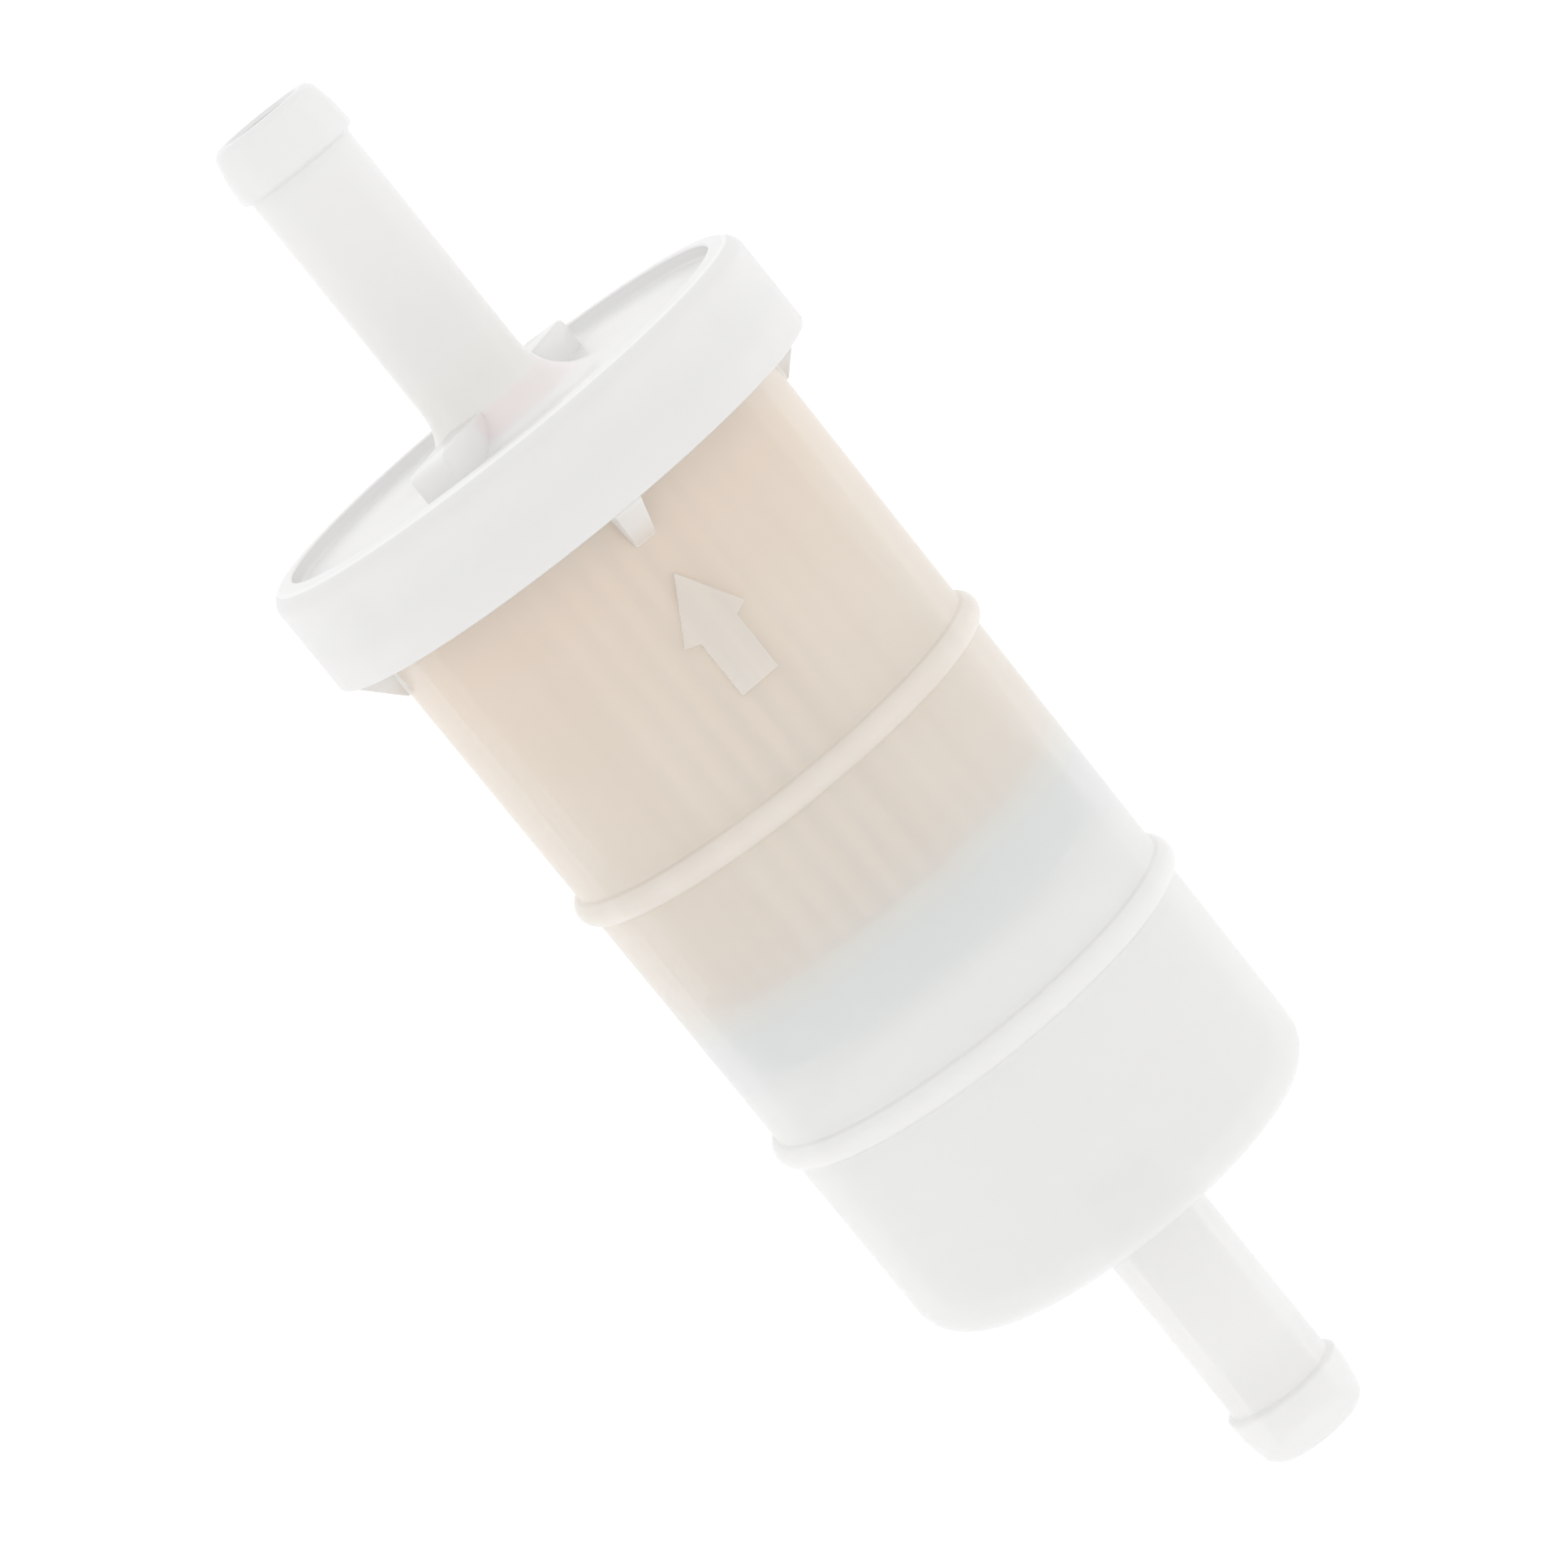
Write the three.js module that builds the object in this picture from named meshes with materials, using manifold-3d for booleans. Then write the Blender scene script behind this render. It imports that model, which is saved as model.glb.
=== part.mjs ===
// Inline fuel filter for a small engine: a sealed nylon bottle with a hose spigot at each end.
// Millimetres. +Z runs along the filter's axis towards the outlet, the raised arrow lies on -Y, and the
// origin is on the axis, midway between the two locating rings, where the rubber holder grips the body.
import * as THREE from "three";
import { mergeVertices } from "three/addons/utils/BufferGeometryUtils.js";
import Module from "manifold-3d";

// Bottle
const BODY_R_TOP = 16.2;
const BODY_R_BOTTOM = 16.0;
const BODY_BOTTOM_Z = -27.8;
const BOTTOM_EDGE_R = 3.1;
const WALL = 1.6;
const FLOOR_THICK = 1.8;
const INNER_CORNER_R = 1.6;

// Flange of the bottle and the cap welded on it
const FLANGE_R = 19.55;
const FLANGE_BOTTOM_Z = 32.4;
const JOINT_Z = 35.3;
const CAP_TOP_Z = 40.15;
const CAP_EDGE_R = 1.4;
const RECESS_R = 17.5;
const RECESS_DEPTH = 1.0;
const CAP_PLATE_THICK = 2.2;
const TONGUE_INNER_R = 16.4;
const TONGUE_OUTER_R = 17.6;
const TONGUE_LENGTH = 1.0;
const TONGUE_PLAY = 0.15;

// Spigots for a hose of 8 mm bore
const SPIGOT_R = 4.0;
const BORE_R = 2.75;
const BARB_R = 4.52;
const TIP_R = 3.85;
const BARB_RISE = 0.3;
const BARB_CROWN = 0.1;
const BARB_MID = 2.2;
const TIP_CHAMFER = 0.35;
const OUTLET_TIP_Z = 65.0;
const OUTLET_SHOULDER_Z = 60.9;
const OUTLET_ROOT_R = 4.0;
const INLET_TIP_Z = -48.65;
const INLET_SHOULDER_Z = -44.4;
const INLET_ROOT_R = 0.5;

// Locating rings for the rubber holder
const RING_Z = 10.6;
const RING_HALF_WIDTH = 1.0;
const RING_HEIGHT = 0.8;

// Raised arrow, pointing at the outlet
const ARROW_TAIL_Z = 17.9;
const ARROW_BARB_Z = 22.2;
const ARROW_SWEEP = 0.35;
const ARROW_TIP_Z = 26.85;
const ARROW_HEAD_HALF = 2.5;
const ARROW_SHAFT_HALF = 1.48;
const ARROW_RAISE = 0.35;

// Four gussets under the flange
const GUSSET_COUNT = 4;
const GUSSET_LEG = 2.85;
const GUSSET_ROOT = 0.5;
const GUSSET_THICK = 2.0;

// Two ribs on the cap's face, which the welding spindle drives
const LUG_ANGLE_DEG = -38;
const LUG_END_R = 12.0;
const LUG_START_R = 4.3;
const LUG_THICK = 3.0;
const LUG_TOP_Z = 41.5;
const LUG_SINK = 0.8;
const LUG_CORNER_R = 0.6;

// Outlet neck of the element, in a socket in the root of the outlet spigot
const NECK_R = 4.0;
const NECK_BORE_R = 2.75;
const NECK_TOP_Z = 40.5;
const SOCKET_R = 4.15;
const SOCKET_TOP_Z = 40.7;
const BOSS_R = 7.0;
const BOSS_BOTTOM_Z = 35.9;
const WASHER_INNER_R = 4.1;
const WASHER_OUTER_R = 6.6;
const WASHER_BOTTOM_Z = 35.05;
const WASHER_TOP_Z = 35.85;

// Pleated paper and the tube it is folded round
const PLEATS = 36;
const PLEAT_OUTER_R = 13.0;
const PLEAT_INNER_R = 8.1;
const PLEAT_FOLD_HALF = 0.35;
const PAPER_THICK = 0.4;
const PAPER_BOTTOM_Z = -2.6;
const PAPER_TOP_Z = 32.95;
const CORE_OUTER_R = 7.5;
const CORE_INNER_R = 6.5;
const CORE_BOTTOM_Z = -4.0;
const CORE_TOP_Z = 33.9;
const WINDOW_ROWS = 5;
const WINDOWS_PER_ROW = 6;
const WINDOW_WIDTH = 3.6;
const WINDOW_HEIGHT = 4.2;
const WINDOW_FIRST_Z = 1.2;
const WINDOW_PITCH_Z = 6.4;

// End plates with a lip round the paper, and the adhesive that bonds the paper into them
const PLATE_R = 14.1;
const PLATE_THICK = 1.0;
const LIP_THICK = 0.6;
const UPPER_PLATE_TOP_Z = 35.0;
const UPPER_LIP_BOTTOM_Z = 32.6;
const COLLAR_OUTER_R = 6.4;
const COLLAR_INNER_R = 5.4;
const COLLAR_BOTTOM_Z = 26.0;
const LOWER_PLATE_BOTTOM_Z = -5.1;
const LOWER_LIP_TOP_Z = 0.5;
const STUB_OUTER_R = 6.4;
const STUB_INNER_R = 5.4;
const STUB_TOP_Z = -1.0;
const BOND_GAP = 0.05;
const BOND_INNER_R = 7.6;
const SEAM_INNER_R = 9.6;
const SEAM_OUTER_R = 12.4;
const SEAM_INNER_HALF = 0.1;
const SEAM_OUTER_HALF = 0.38;

// Facets
const SIDES = 40;
const INNER_SIDES = 24;
const ARC_STEPS = 3;

const wasm = await Module();
wasm.setup();

const NYLON = { color: 0xeef1f2, roughness: 0.35, metalness: 0 };
const CAP_NYLON = { color: 0xf0f2f3, roughness: 0.38, metalness: 0 };
const PAPER = { color: 0xc79a66, roughness: 0.95, metalness: 0 };
const SEAM_GLUE = { color: 0xb98a50, roughness: 0.6, metalness: 0 };
const CORE_NYLON = { color: 0xb48a62, roughness: 0.6, metalness: 0 };
const SALMON_PLATE = { color: 0xcf7466, roughness: 0.55, metalness: 0 };
const SLATE_PLATE = { color: 0x8aa0a2, roughness: 0.55, metalness: 0 };
const BOND = { color: 0xd9b48a, roughness: 0.5, metalness: 0 };
const WASHER_RUBBER = { color: 0xc76a6a, roughness: 0.7, metalness: 0 };

// A profile in the (radius, height) half-plane, turned about Z. It closes on itself, or meets the axis.
function turned(draw, sides = SIDES) {
  const path = new THREE.Path();
  draw(path);
  return new THREE.LatheGeometry(path.getPoints(ARC_STEPS), sides).rotateX(Math.PI / 2);
}

// A plain ring or tube of rectangular section.
function ring(innerR, outerR, bottomZ, topZ, sides = INNER_SIDES) {
  return turned((path) => {
    path.moveTo(innerR, bottomZ);
    path.lineTo(outerR, bottomZ);
    path.lineTo(outerR, topZ);
    path.lineTo(innerR, topZ);
    path.lineTo(innerR, bottomZ);
  }, sides);
}

// A flat outline drawn in (x, height), with a depth along Y from y = from to y = to.
function slab(draw, from, to) {
  const shape = new THREE.Shape();
  draw(shape);
  const settings = { depth: to - from, bevelEnabled: false, curveSegments: ARC_STEPS };
  return new THREE.ExtrudeGeometry(shape, settings).rotateX(Math.PI / 2).translate(0, to, 0);
}

// A closed geometry as a manifold-3d solid.
function solid(geometry) {
  const bare = geometry.clone();
  bare.deleteAttribute("normal");
  bare.deleteAttribute("uv");
  const merged = mergeVertices(bare);
  return new wasm.Manifold(
    new wasm.Mesh({
      numProp: 3,
      vertProperties: merged.attributes.position.array,
      triVerts: new Uint32Array(merged.index.array),
    }),
  );
}

// A manifold-3d solid as a geometry.
function geometryOf(body) {
  const mesh = body.getMesh();
  const geometry = new THREE.BufferGeometry();
  geometry.setAttribute("position", new THREE.BufferAttribute(mesh.vertProperties, 3));
  geometry.setIndex(new THREE.BufferAttribute(mesh.triVerts, 1));
  geometry.computeVertexNormals();
  return geometry;
}

// The outside radius of the tapered bottle at a height.
function bodyRadius(z) {
  const share = (z - BODY_BOTTOM_Z) / (FLANGE_BOTTOM_Z - BODY_BOTTOM_Z);
  return BODY_R_BOTTOM + (BODY_R_TOP - BODY_R_BOTTOM) * share;
}

// A half-round locating ring, added to a profile that climbs the bottle.
function locatingRing(path, z) {
  const radius = (RING_HALF_WIDTH ** 2 + RING_HEIGHT ** 2) / (2 * RING_HEIGHT);
  const half = Math.asin(RING_HALF_WIDTH / radius);
  path.absarc(bodyRadius(z) + RING_HEIGHT - radius, z, radius, -half, half, false);
}

// The bottle's profile: inlet spigot, rounded bottom, tapered wall with two rings, flange, weld groove.
function bottle(path) {
  const floorZ = BODY_BOTTOM_Z + FLOOR_THICK;
  const innerBottomR = BODY_R_BOTTOM - WALL;
  const edgeR = BODY_R_BOTTOM - BOTTOM_EDGE_R;
  const cornerR = innerBottomR - INNER_CORNER_R;
  path.moveTo(BORE_R, INLET_TIP_Z);
  path.lineTo(TIP_R - TIP_CHAMFER, INLET_TIP_Z);
  path.lineTo(TIP_R, INLET_TIP_Z + TIP_CHAMFER);
  path.quadraticCurveTo(BARB_R - BARB_CROWN, INLET_TIP_Z + BARB_MID, BARB_R, INLET_SHOULDER_Z - BARB_RISE);
  path.lineTo(SPIGOT_R, INLET_SHOULDER_Z);
  path.lineTo(SPIGOT_R, BODY_BOTTOM_Z - INLET_ROOT_R);
  path.lineTo(SPIGOT_R + INLET_ROOT_R, BODY_BOTTOM_Z);
  path.absarc(edgeR, BODY_BOTTOM_Z + BOTTOM_EDGE_R, BOTTOM_EDGE_R, -Math.PI / 2, 0, false);
  locatingRing(path, -RING_Z);
  locatingRing(path, RING_Z);
  path.lineTo(BODY_R_TOP, FLANGE_BOTTOM_Z);
  path.lineTo(FLANGE_R, FLANGE_BOTTOM_Z);
  path.lineTo(FLANGE_R, JOINT_Z);
  path.lineTo(TONGUE_OUTER_R + TONGUE_PLAY, JOINT_Z);
  path.lineTo(TONGUE_OUTER_R + TONGUE_PLAY, JOINT_Z - TONGUE_LENGTH - TONGUE_PLAY);
  path.lineTo(TONGUE_INNER_R - TONGUE_PLAY, JOINT_Z - TONGUE_LENGTH - TONGUE_PLAY);
  path.lineTo(TONGUE_INNER_R - TONGUE_PLAY, JOINT_Z);
  path.lineTo(BODY_R_TOP - WALL, JOINT_Z);
  path.lineTo(innerBottomR, floorZ + INNER_CORNER_R);
  path.absarc(cornerR, floorZ + INNER_CORNER_R, INNER_CORNER_R, 0, -Math.PI / 2, true);
  path.lineTo(BORE_R, floorZ);
  path.lineTo(BORE_R, INLET_TIP_Z);
}

// The raised arrow: its outline pushed into the wall, trimmed outside to a skin over the bottle.
function arrow() {
  const outline = slab(
    (shape) => {
      shape.moveTo(-ARROW_SHAFT_HALF, ARROW_TAIL_Z);
      shape.lineTo(ARROW_SHAFT_HALF, ARROW_TAIL_Z);
      shape.lineTo(ARROW_SHAFT_HALF, ARROW_BARB_Z);
      shape.lineTo(ARROW_HEAD_HALF, ARROW_BARB_Z + ARROW_SWEEP);
      shape.lineTo(0, ARROW_TIP_Z);
      shape.lineTo(-ARROW_HEAD_HALF, ARROW_BARB_Z + ARROW_SWEEP);
      shape.lineTo(-ARROW_SHAFT_HALF, ARROW_BARB_Z);
    },
    -BODY_R_TOP - WALL,
    -BODY_R_TOP + WALL / 2,
  );
  const skin = ring(BODY_R_TOP - WALL, BODY_R_TOP + ARROW_RAISE, INLET_TIP_Z, CAP_TOP_Z, SIDES);
  return solid(outline).intersect(solid(skin));
}

// A gusset between the wall and the underside of the flange, on +X before it is turned.
function gusset(angle) {
  const inner = BODY_R_TOP - GUSSET_ROOT;
  const outer = BODY_R_TOP + GUSSET_LEG;
  return slab(
    (shape) => {
      shape.moveTo(inner, FLANGE_BOTTOM_Z - GUSSET_LEG);
      shape.lineTo(BODY_R_TOP, FLANGE_BOTTOM_Z - GUSSET_LEG);
      shape.lineTo(outer, FLANGE_BOTTOM_Z);
      shape.lineTo(outer, FLANGE_BOTTOM_Z + GUSSET_ROOT);
      shape.lineTo(inner, FLANGE_BOTTOM_Z + GUSSET_ROOT);
    },
    -GUSSET_THICK / 2,
    GUSSET_THICK / 2,
  ).rotateZ(angle);
}

// The bottle in one moulding.
function housing() {
  let body = solid(turned(bottle)).add(arrow());
  for (let i = 0; i < GUSSET_COUNT; i += 1) {
    body = body.add(solid(gusset((i * 2 * Math.PI) / GUSSET_COUNT)));
  }
  return geometryOf(body);
}

// The cap's profile: skirt with the weld tongue, recessed face, rounded root and outlet spigot.
function lid(path) {
  const faceZ = CAP_TOP_Z - RECESS_DEPTH;
  const undersideZ = faceZ - CAP_PLATE_THICK;
  const edgeR = FLANGE_R - CAP_EDGE_R;
  const rootR = SPIGOT_R + OUTLET_ROOT_R;
  path.moveTo(BODY_R_TOP - WALL, JOINT_Z);
  path.lineTo(TONGUE_INNER_R, JOINT_Z);
  path.lineTo(TONGUE_INNER_R, JOINT_Z - TONGUE_LENGTH);
  path.lineTo(TONGUE_OUTER_R, JOINT_Z - TONGUE_LENGTH);
  path.lineTo(TONGUE_OUTER_R, JOINT_Z);
  path.lineTo(FLANGE_R, JOINT_Z);
  path.absarc(edgeR, CAP_TOP_Z - CAP_EDGE_R, CAP_EDGE_R, 0, Math.PI / 2, false);
  path.lineTo(RECESS_R, CAP_TOP_Z);
  path.lineTo(RECESS_R, faceZ);
  path.absarc(rootR, faceZ + OUTLET_ROOT_R, OUTLET_ROOT_R, -Math.PI / 2, -Math.PI, true);
  path.lineTo(SPIGOT_R, OUTLET_SHOULDER_Z);
  path.lineTo(BARB_R, OUTLET_SHOULDER_Z + BARB_RISE);
  path.quadraticCurveTo(BARB_R - BARB_CROWN, OUTLET_TIP_Z - BARB_MID, TIP_R, OUTLET_TIP_Z - TIP_CHAMFER);
  path.lineTo(TIP_R - TIP_CHAMFER, OUTLET_TIP_Z);
  path.lineTo(BORE_R, OUTLET_TIP_Z);
  path.lineTo(BORE_R, SOCKET_TOP_Z);
  path.lineTo(SOCKET_R, SOCKET_TOP_Z);
  path.lineTo(SOCKET_R, BOSS_BOTTOM_Z);
  path.lineTo(BOSS_R, BOSS_BOTTOM_Z);
  path.lineTo(BOSS_R, undersideZ);
  path.lineTo(BODY_R_TOP - WALL, undersideZ);
  path.lineTo(BODY_R_TOP - WALL, JOINT_Z);
}

// A driving rib on the cap's face, on +X before it is turned.
function lug(angle) {
  const bottomZ = CAP_TOP_Z - RECESS_DEPTH - LUG_SINK;
  return slab(
    (shape) => {
      shape.moveTo(LUG_START_R, bottomZ);
      shape.lineTo(LUG_END_R, bottomZ);
      shape.absarc(LUG_END_R - LUG_CORNER_R, LUG_TOP_Z - LUG_CORNER_R, LUG_CORNER_R, 0, Math.PI / 2, false);
      shape.lineTo(LUG_START_R, LUG_TOP_Z);
    },
    -LUG_THICK / 2,
    LUG_THICK / 2,
  ).rotateZ(angle);
}

// The cap in one moulding.
function cap() {
  const angle = THREE.MathUtils.degToRad(LUG_ANGLE_DEG) - Math.PI / 2;
  const body = solid(turned(lid)).add(solid(lug(angle))).add(solid(lug(angle + Math.PI)));
  return geometryOf(body);
}

// One face of the pleated paper, as points round the axis, a distance out from the middle of the sheet.
function pleatLine(out) {
  const points = [];
  const pitch = (2 * Math.PI) / PLEATS;
  const fold = (PLEAT_FOLD_HALF - out) / PLEAT_INNER_R;
  const crest = (PLEAT_FOLD_HALF + out) / PLEAT_OUTER_R;
  for (let i = 0; i < PLEATS; i += 1) {
    for (const [radius, turn] of [
      [PLEAT_INNER_R + out, -fold],
      [PLEAT_INNER_R + out, fold],
      [PLEAT_OUTER_R + out, pitch / 2 - crest],
      [PLEAT_OUTER_R + out, pitch / 2 + crest],
    ]) {
      const angle = Math.PI / 2 + i * pitch + turn;
      points.push(new THREE.Vector2(radius * Math.cos(angle), radius * Math.sin(angle)));
    }
  }
  return points;
}

// The pleated paper: one folded sheet, joined end to end.
function filterPaper() {
  const shape = new THREE.Shape(pleatLine(PAPER_THICK / 2));
  shape.holes.push(new THREE.Path(pleatLine(-PAPER_THICK / 2)));
  const settings = { depth: PAPER_TOP_Z - PAPER_BOTTOM_Z, bevelEnabled: false };
  return new THREE.ExtrudeGeometry(shape, settings).translate(0, 0, PAPER_BOTTOM_Z);
}

// The glue in the fold on +Y, where the two ends of the paper meet.
function seamGlue() {
  const shape = new THREE.Shape([
    new THREE.Vector2(-SEAM_INNER_HALF, SEAM_INNER_R),
    new THREE.Vector2(SEAM_INNER_HALF, SEAM_INNER_R),
    new THREE.Vector2(SEAM_OUTER_HALF, SEAM_OUTER_R),
    new THREE.Vector2(-SEAM_OUTER_HALF, SEAM_OUTER_R),
  ]);
  const settings = { depth: PAPER_TOP_Z - PAPER_BOTTOM_Z, bevelEnabled: false };
  return new THREE.ExtrudeGeometry(shape, settings).translate(0, 0, PAPER_BOTTOM_Z);
}

// The tube inside the paper, with rows of windows that let the fuel through.
function coreTube() {
  let tube = solid(ring(CORE_INNER_R, CORE_OUTER_R, CORE_BOTTOM_Z, CORE_TOP_Z));
  for (let row = 0; row < WINDOW_ROWS; row += 1) {
    const z = WINDOW_FIRST_Z + row * WINDOW_PITCH_Z + WINDOW_HEIGHT / 2;
    for (let i = 0; i < WINDOWS_PER_ROW; i += 1) {
      const window = new THREE.BoxGeometry(CORE_OUTER_R, WINDOW_WIDTH, WINDOW_HEIGHT);
      window.translate(CORE_OUTER_R, 0, z).rotateZ(((i + (row % 2) / 2) * 2 * Math.PI) / WINDOWS_PER_ROW);
      tube = tube.subtract(solid(window));
    }
  }
  return geometryOf(tube);
}

// The upper plate: a disc with a lip round the paper, a collar inside the core tube, and the outlet neck.
function upperPlate(path) {
  const undersideZ = UPPER_PLATE_TOP_Z - PLATE_THICK;
  path.moveTo(NECK_BORE_R, undersideZ);
  path.lineTo(COLLAR_INNER_R, undersideZ);
  path.lineTo(COLLAR_INNER_R, COLLAR_BOTTOM_Z);
  path.lineTo(COLLAR_OUTER_R, COLLAR_BOTTOM_Z);
  path.lineTo(COLLAR_OUTER_R, undersideZ);
  path.lineTo(PLATE_R - LIP_THICK, undersideZ);
  path.lineTo(PLATE_R - LIP_THICK, UPPER_LIP_BOTTOM_Z);
  path.lineTo(PLATE_R, UPPER_LIP_BOTTOM_Z);
  path.lineTo(PLATE_R, UPPER_PLATE_TOP_Z);
  path.lineTo(NECK_R, UPPER_PLATE_TOP_Z);
  path.lineTo(NECK_R, NECK_TOP_Z);
  path.lineTo(NECK_BORE_R, NECK_TOP_Z);
  path.lineTo(NECK_BORE_R, undersideZ);
}

// The lower plate: a closed disc with a deep lip round the paper and a stub inside the core tube.
function lowerPlate(path) {
  const topsideZ = LOWER_PLATE_BOTTOM_Z + PLATE_THICK;
  path.moveTo(0, LOWER_PLATE_BOTTOM_Z);
  path.lineTo(PLATE_R, LOWER_PLATE_BOTTOM_Z);
  path.lineTo(PLATE_R, LOWER_LIP_TOP_Z);
  path.lineTo(PLATE_R - LIP_THICK, LOWER_LIP_TOP_Z);
  path.lineTo(PLATE_R - LIP_THICK, topsideZ);
  path.lineTo(STUB_OUTER_R, topsideZ);
  path.lineTo(STUB_OUTER_R, STUB_TOP_Z);
  path.lineTo(STUB_INNER_R, STUB_TOP_Z);
  path.lineTo(STUB_INNER_R, topsideZ);
  path.lineTo(0, topsideZ);
}

// The adhesive ring in a plate, between two heights.
function bond(bottomZ, topZ) {
  return ring(BOND_INNER_R, PLATE_R - LIP_THICK - BOND_GAP, bottomZ + BOND_GAP, topZ - BOND_GAP);
}

const filter = new THREE.Group();

// A named piece in its own finish.
function piece(name, geometry, finish) {
  const mesh = new THREE.Mesh(geometry, new THREE.MeshStandardMaterial(finish));
  mesh.name = name;
  filter.add(mesh);
}

piece("housing", housing(), NYLON);
piece("cap", cap(), CAP_NYLON);
piece("filter_paper", filterPaper(), PAPER);
piece("paper_seam", seamGlue(), SEAM_GLUE);
piece("core_tube", coreTube(), CORE_NYLON);
piece("upper_end_plate", turned(upperPlate, INNER_SIDES), SALMON_PLATE);
piece("lower_end_plate", turned(lowerPlate, INNER_SIDES), SLATE_PLATE);
piece("upper_bond", bond(PAPER_TOP_Z, UPPER_PLATE_TOP_Z - PLATE_THICK), BOND);
piece("lower_bond", bond(LOWER_PLATE_BOTTOM_Z + PLATE_THICK, PAPER_BOTTOM_Z), BOND);
piece("neck_washer", ring(WASHER_INNER_R, WASHER_OUTER_R, WASHER_BOTTOM_Z, WASHER_TOP_Z), WASHER_RUBBER);

export default filter;
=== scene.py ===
"""Looks of a small-engine inline fuel filter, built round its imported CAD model.

Every piece is made in metres in the row frame: +Z runs along the filter's axis to the outlet, the raised
arrow lies on -Y, and the origin is midway between the two locating rings.
"""

import logging
import math
from dataclasses import dataclass, field
from enum import Enum

import bmesh
import bpy
from mathutils import Matrix, Vector


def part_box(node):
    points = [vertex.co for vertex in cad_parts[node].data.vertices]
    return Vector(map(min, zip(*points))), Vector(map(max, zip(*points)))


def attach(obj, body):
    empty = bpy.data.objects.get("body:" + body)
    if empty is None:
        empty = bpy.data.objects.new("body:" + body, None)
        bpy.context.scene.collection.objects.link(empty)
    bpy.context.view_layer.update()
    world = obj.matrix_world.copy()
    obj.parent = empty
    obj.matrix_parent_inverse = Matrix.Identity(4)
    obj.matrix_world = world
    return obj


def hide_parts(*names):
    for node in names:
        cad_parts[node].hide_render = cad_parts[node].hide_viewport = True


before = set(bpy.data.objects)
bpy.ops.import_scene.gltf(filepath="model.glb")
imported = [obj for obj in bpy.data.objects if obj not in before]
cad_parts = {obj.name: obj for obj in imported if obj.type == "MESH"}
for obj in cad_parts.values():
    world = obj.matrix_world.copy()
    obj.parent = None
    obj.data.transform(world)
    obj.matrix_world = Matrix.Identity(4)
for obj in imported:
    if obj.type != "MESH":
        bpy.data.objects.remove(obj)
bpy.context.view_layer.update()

LOG = logging.getLogger("fuel_filter")
MM = 0.001

Point = tuple[float, float]
Colour = tuple[float, float, float]
Piece = bpy.types.Object
Material = bpy.types.Material
Socket = bpy.types.NodeSocket


# Shader maths


class Share:
    """A number socket of a material, on which Python arithmetic adds the Math nodes."""

    def __init__(self, graph: "Graph", socket: Socket) -> None:
        """Wraps an output socket that carries a number, with the graph that it belongs to."""
        self.graph = graph
        self.socket = socket

    def _with(self, operation: str, first: "Share | float", second: "Share | float") -> "Share":
        """The result of one Math node on two operands."""
        return self.graph.node("ShaderNodeMath", {"operation": operation}, {0: first, 1: second}).out(0)

    def __add__(self, other: "Share | float") -> "Share":
        """The sum with another number."""
        return self._with("ADD", self, other)

    __radd__ = __add__

    def __sub__(self, other: "Share | float") -> "Share":
        """This number less another."""
        return self._with("SUBTRACT", self, other)

    def __rsub__(self, other: float) -> "Share":
        """Another number less this one."""
        return self._with("SUBTRACT", other, self)

    def __mul__(self, other: "Share | float") -> "Share":
        """The product with another number."""
        return self._with("MULTIPLY", self, other)

    __rmul__ = __mul__

    def __truediv__(self, other: "Share | float") -> "Share":
        """This number over another."""
        return self._with("DIVIDE", self, other)

    def __pow__(self, other: float) -> "Share":
        """This number to a power."""
        return self._with("POWER", self, other)

    def __abs__(self) -> "Share":
        """The size of this number, whatever its sign."""
        return self._with("ABSOLUTE", self, 0.0)

    def least(self, other: "Share | float") -> "Share":
        """The smaller of this number and another."""
        return self._with("MINIMUM", self, other)

    def most(self, other: "Share | float") -> "Share":
        """The larger of this number and another."""
        return self._with("MAXIMUM", self, other)

    def step(self, start: float, end: float) -> "Share":
        """A soft step: 0 where this number is at start, 1 where it is at end.

        Args:
            start: where the step begins.
            end: where it is complete; it may be less than start.

        Returns:
            The stepped share.
        """
        low, high, to = (start, end, (0.0, 1.0)) if start < end else (end, start, (1.0, 0.0))
        settings = {"interpolation_type": "SMOOTHSTEP", "clamp": True}
        sockets = {"Value": self, "From Min": low, "From Max": high, "To Min": to[0], "To Max": to[1]}
        return self.graph.node("ShaderNodeMapRange", settings, sockets).out("Result")

    def band(self, centre: float, half: float, soft: float) -> "Share":
        """1 within half of a centre, falling to 0 over a soft edge on each side."""
        return abs(self - centre).step(half + soft, half)


class Node:
    """A shader node, with its outputs by name or place."""

    def __init__(self, graph: "Graph", made: bpy.types.Node) -> None:
        """Wraps a node that the graph has made."""
        self.graph = graph
        self.made = made

    def out(self, key: str | int) -> Share:
        """An output as a number that arithmetic works on."""
        return Share(self.graph, self.made.outputs[key])

    def colour(self, key: str | int = 0) -> Socket:
        """An output as a plain socket, for a colour, a vector or a shader."""
        return self.made.outputs[key]


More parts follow.
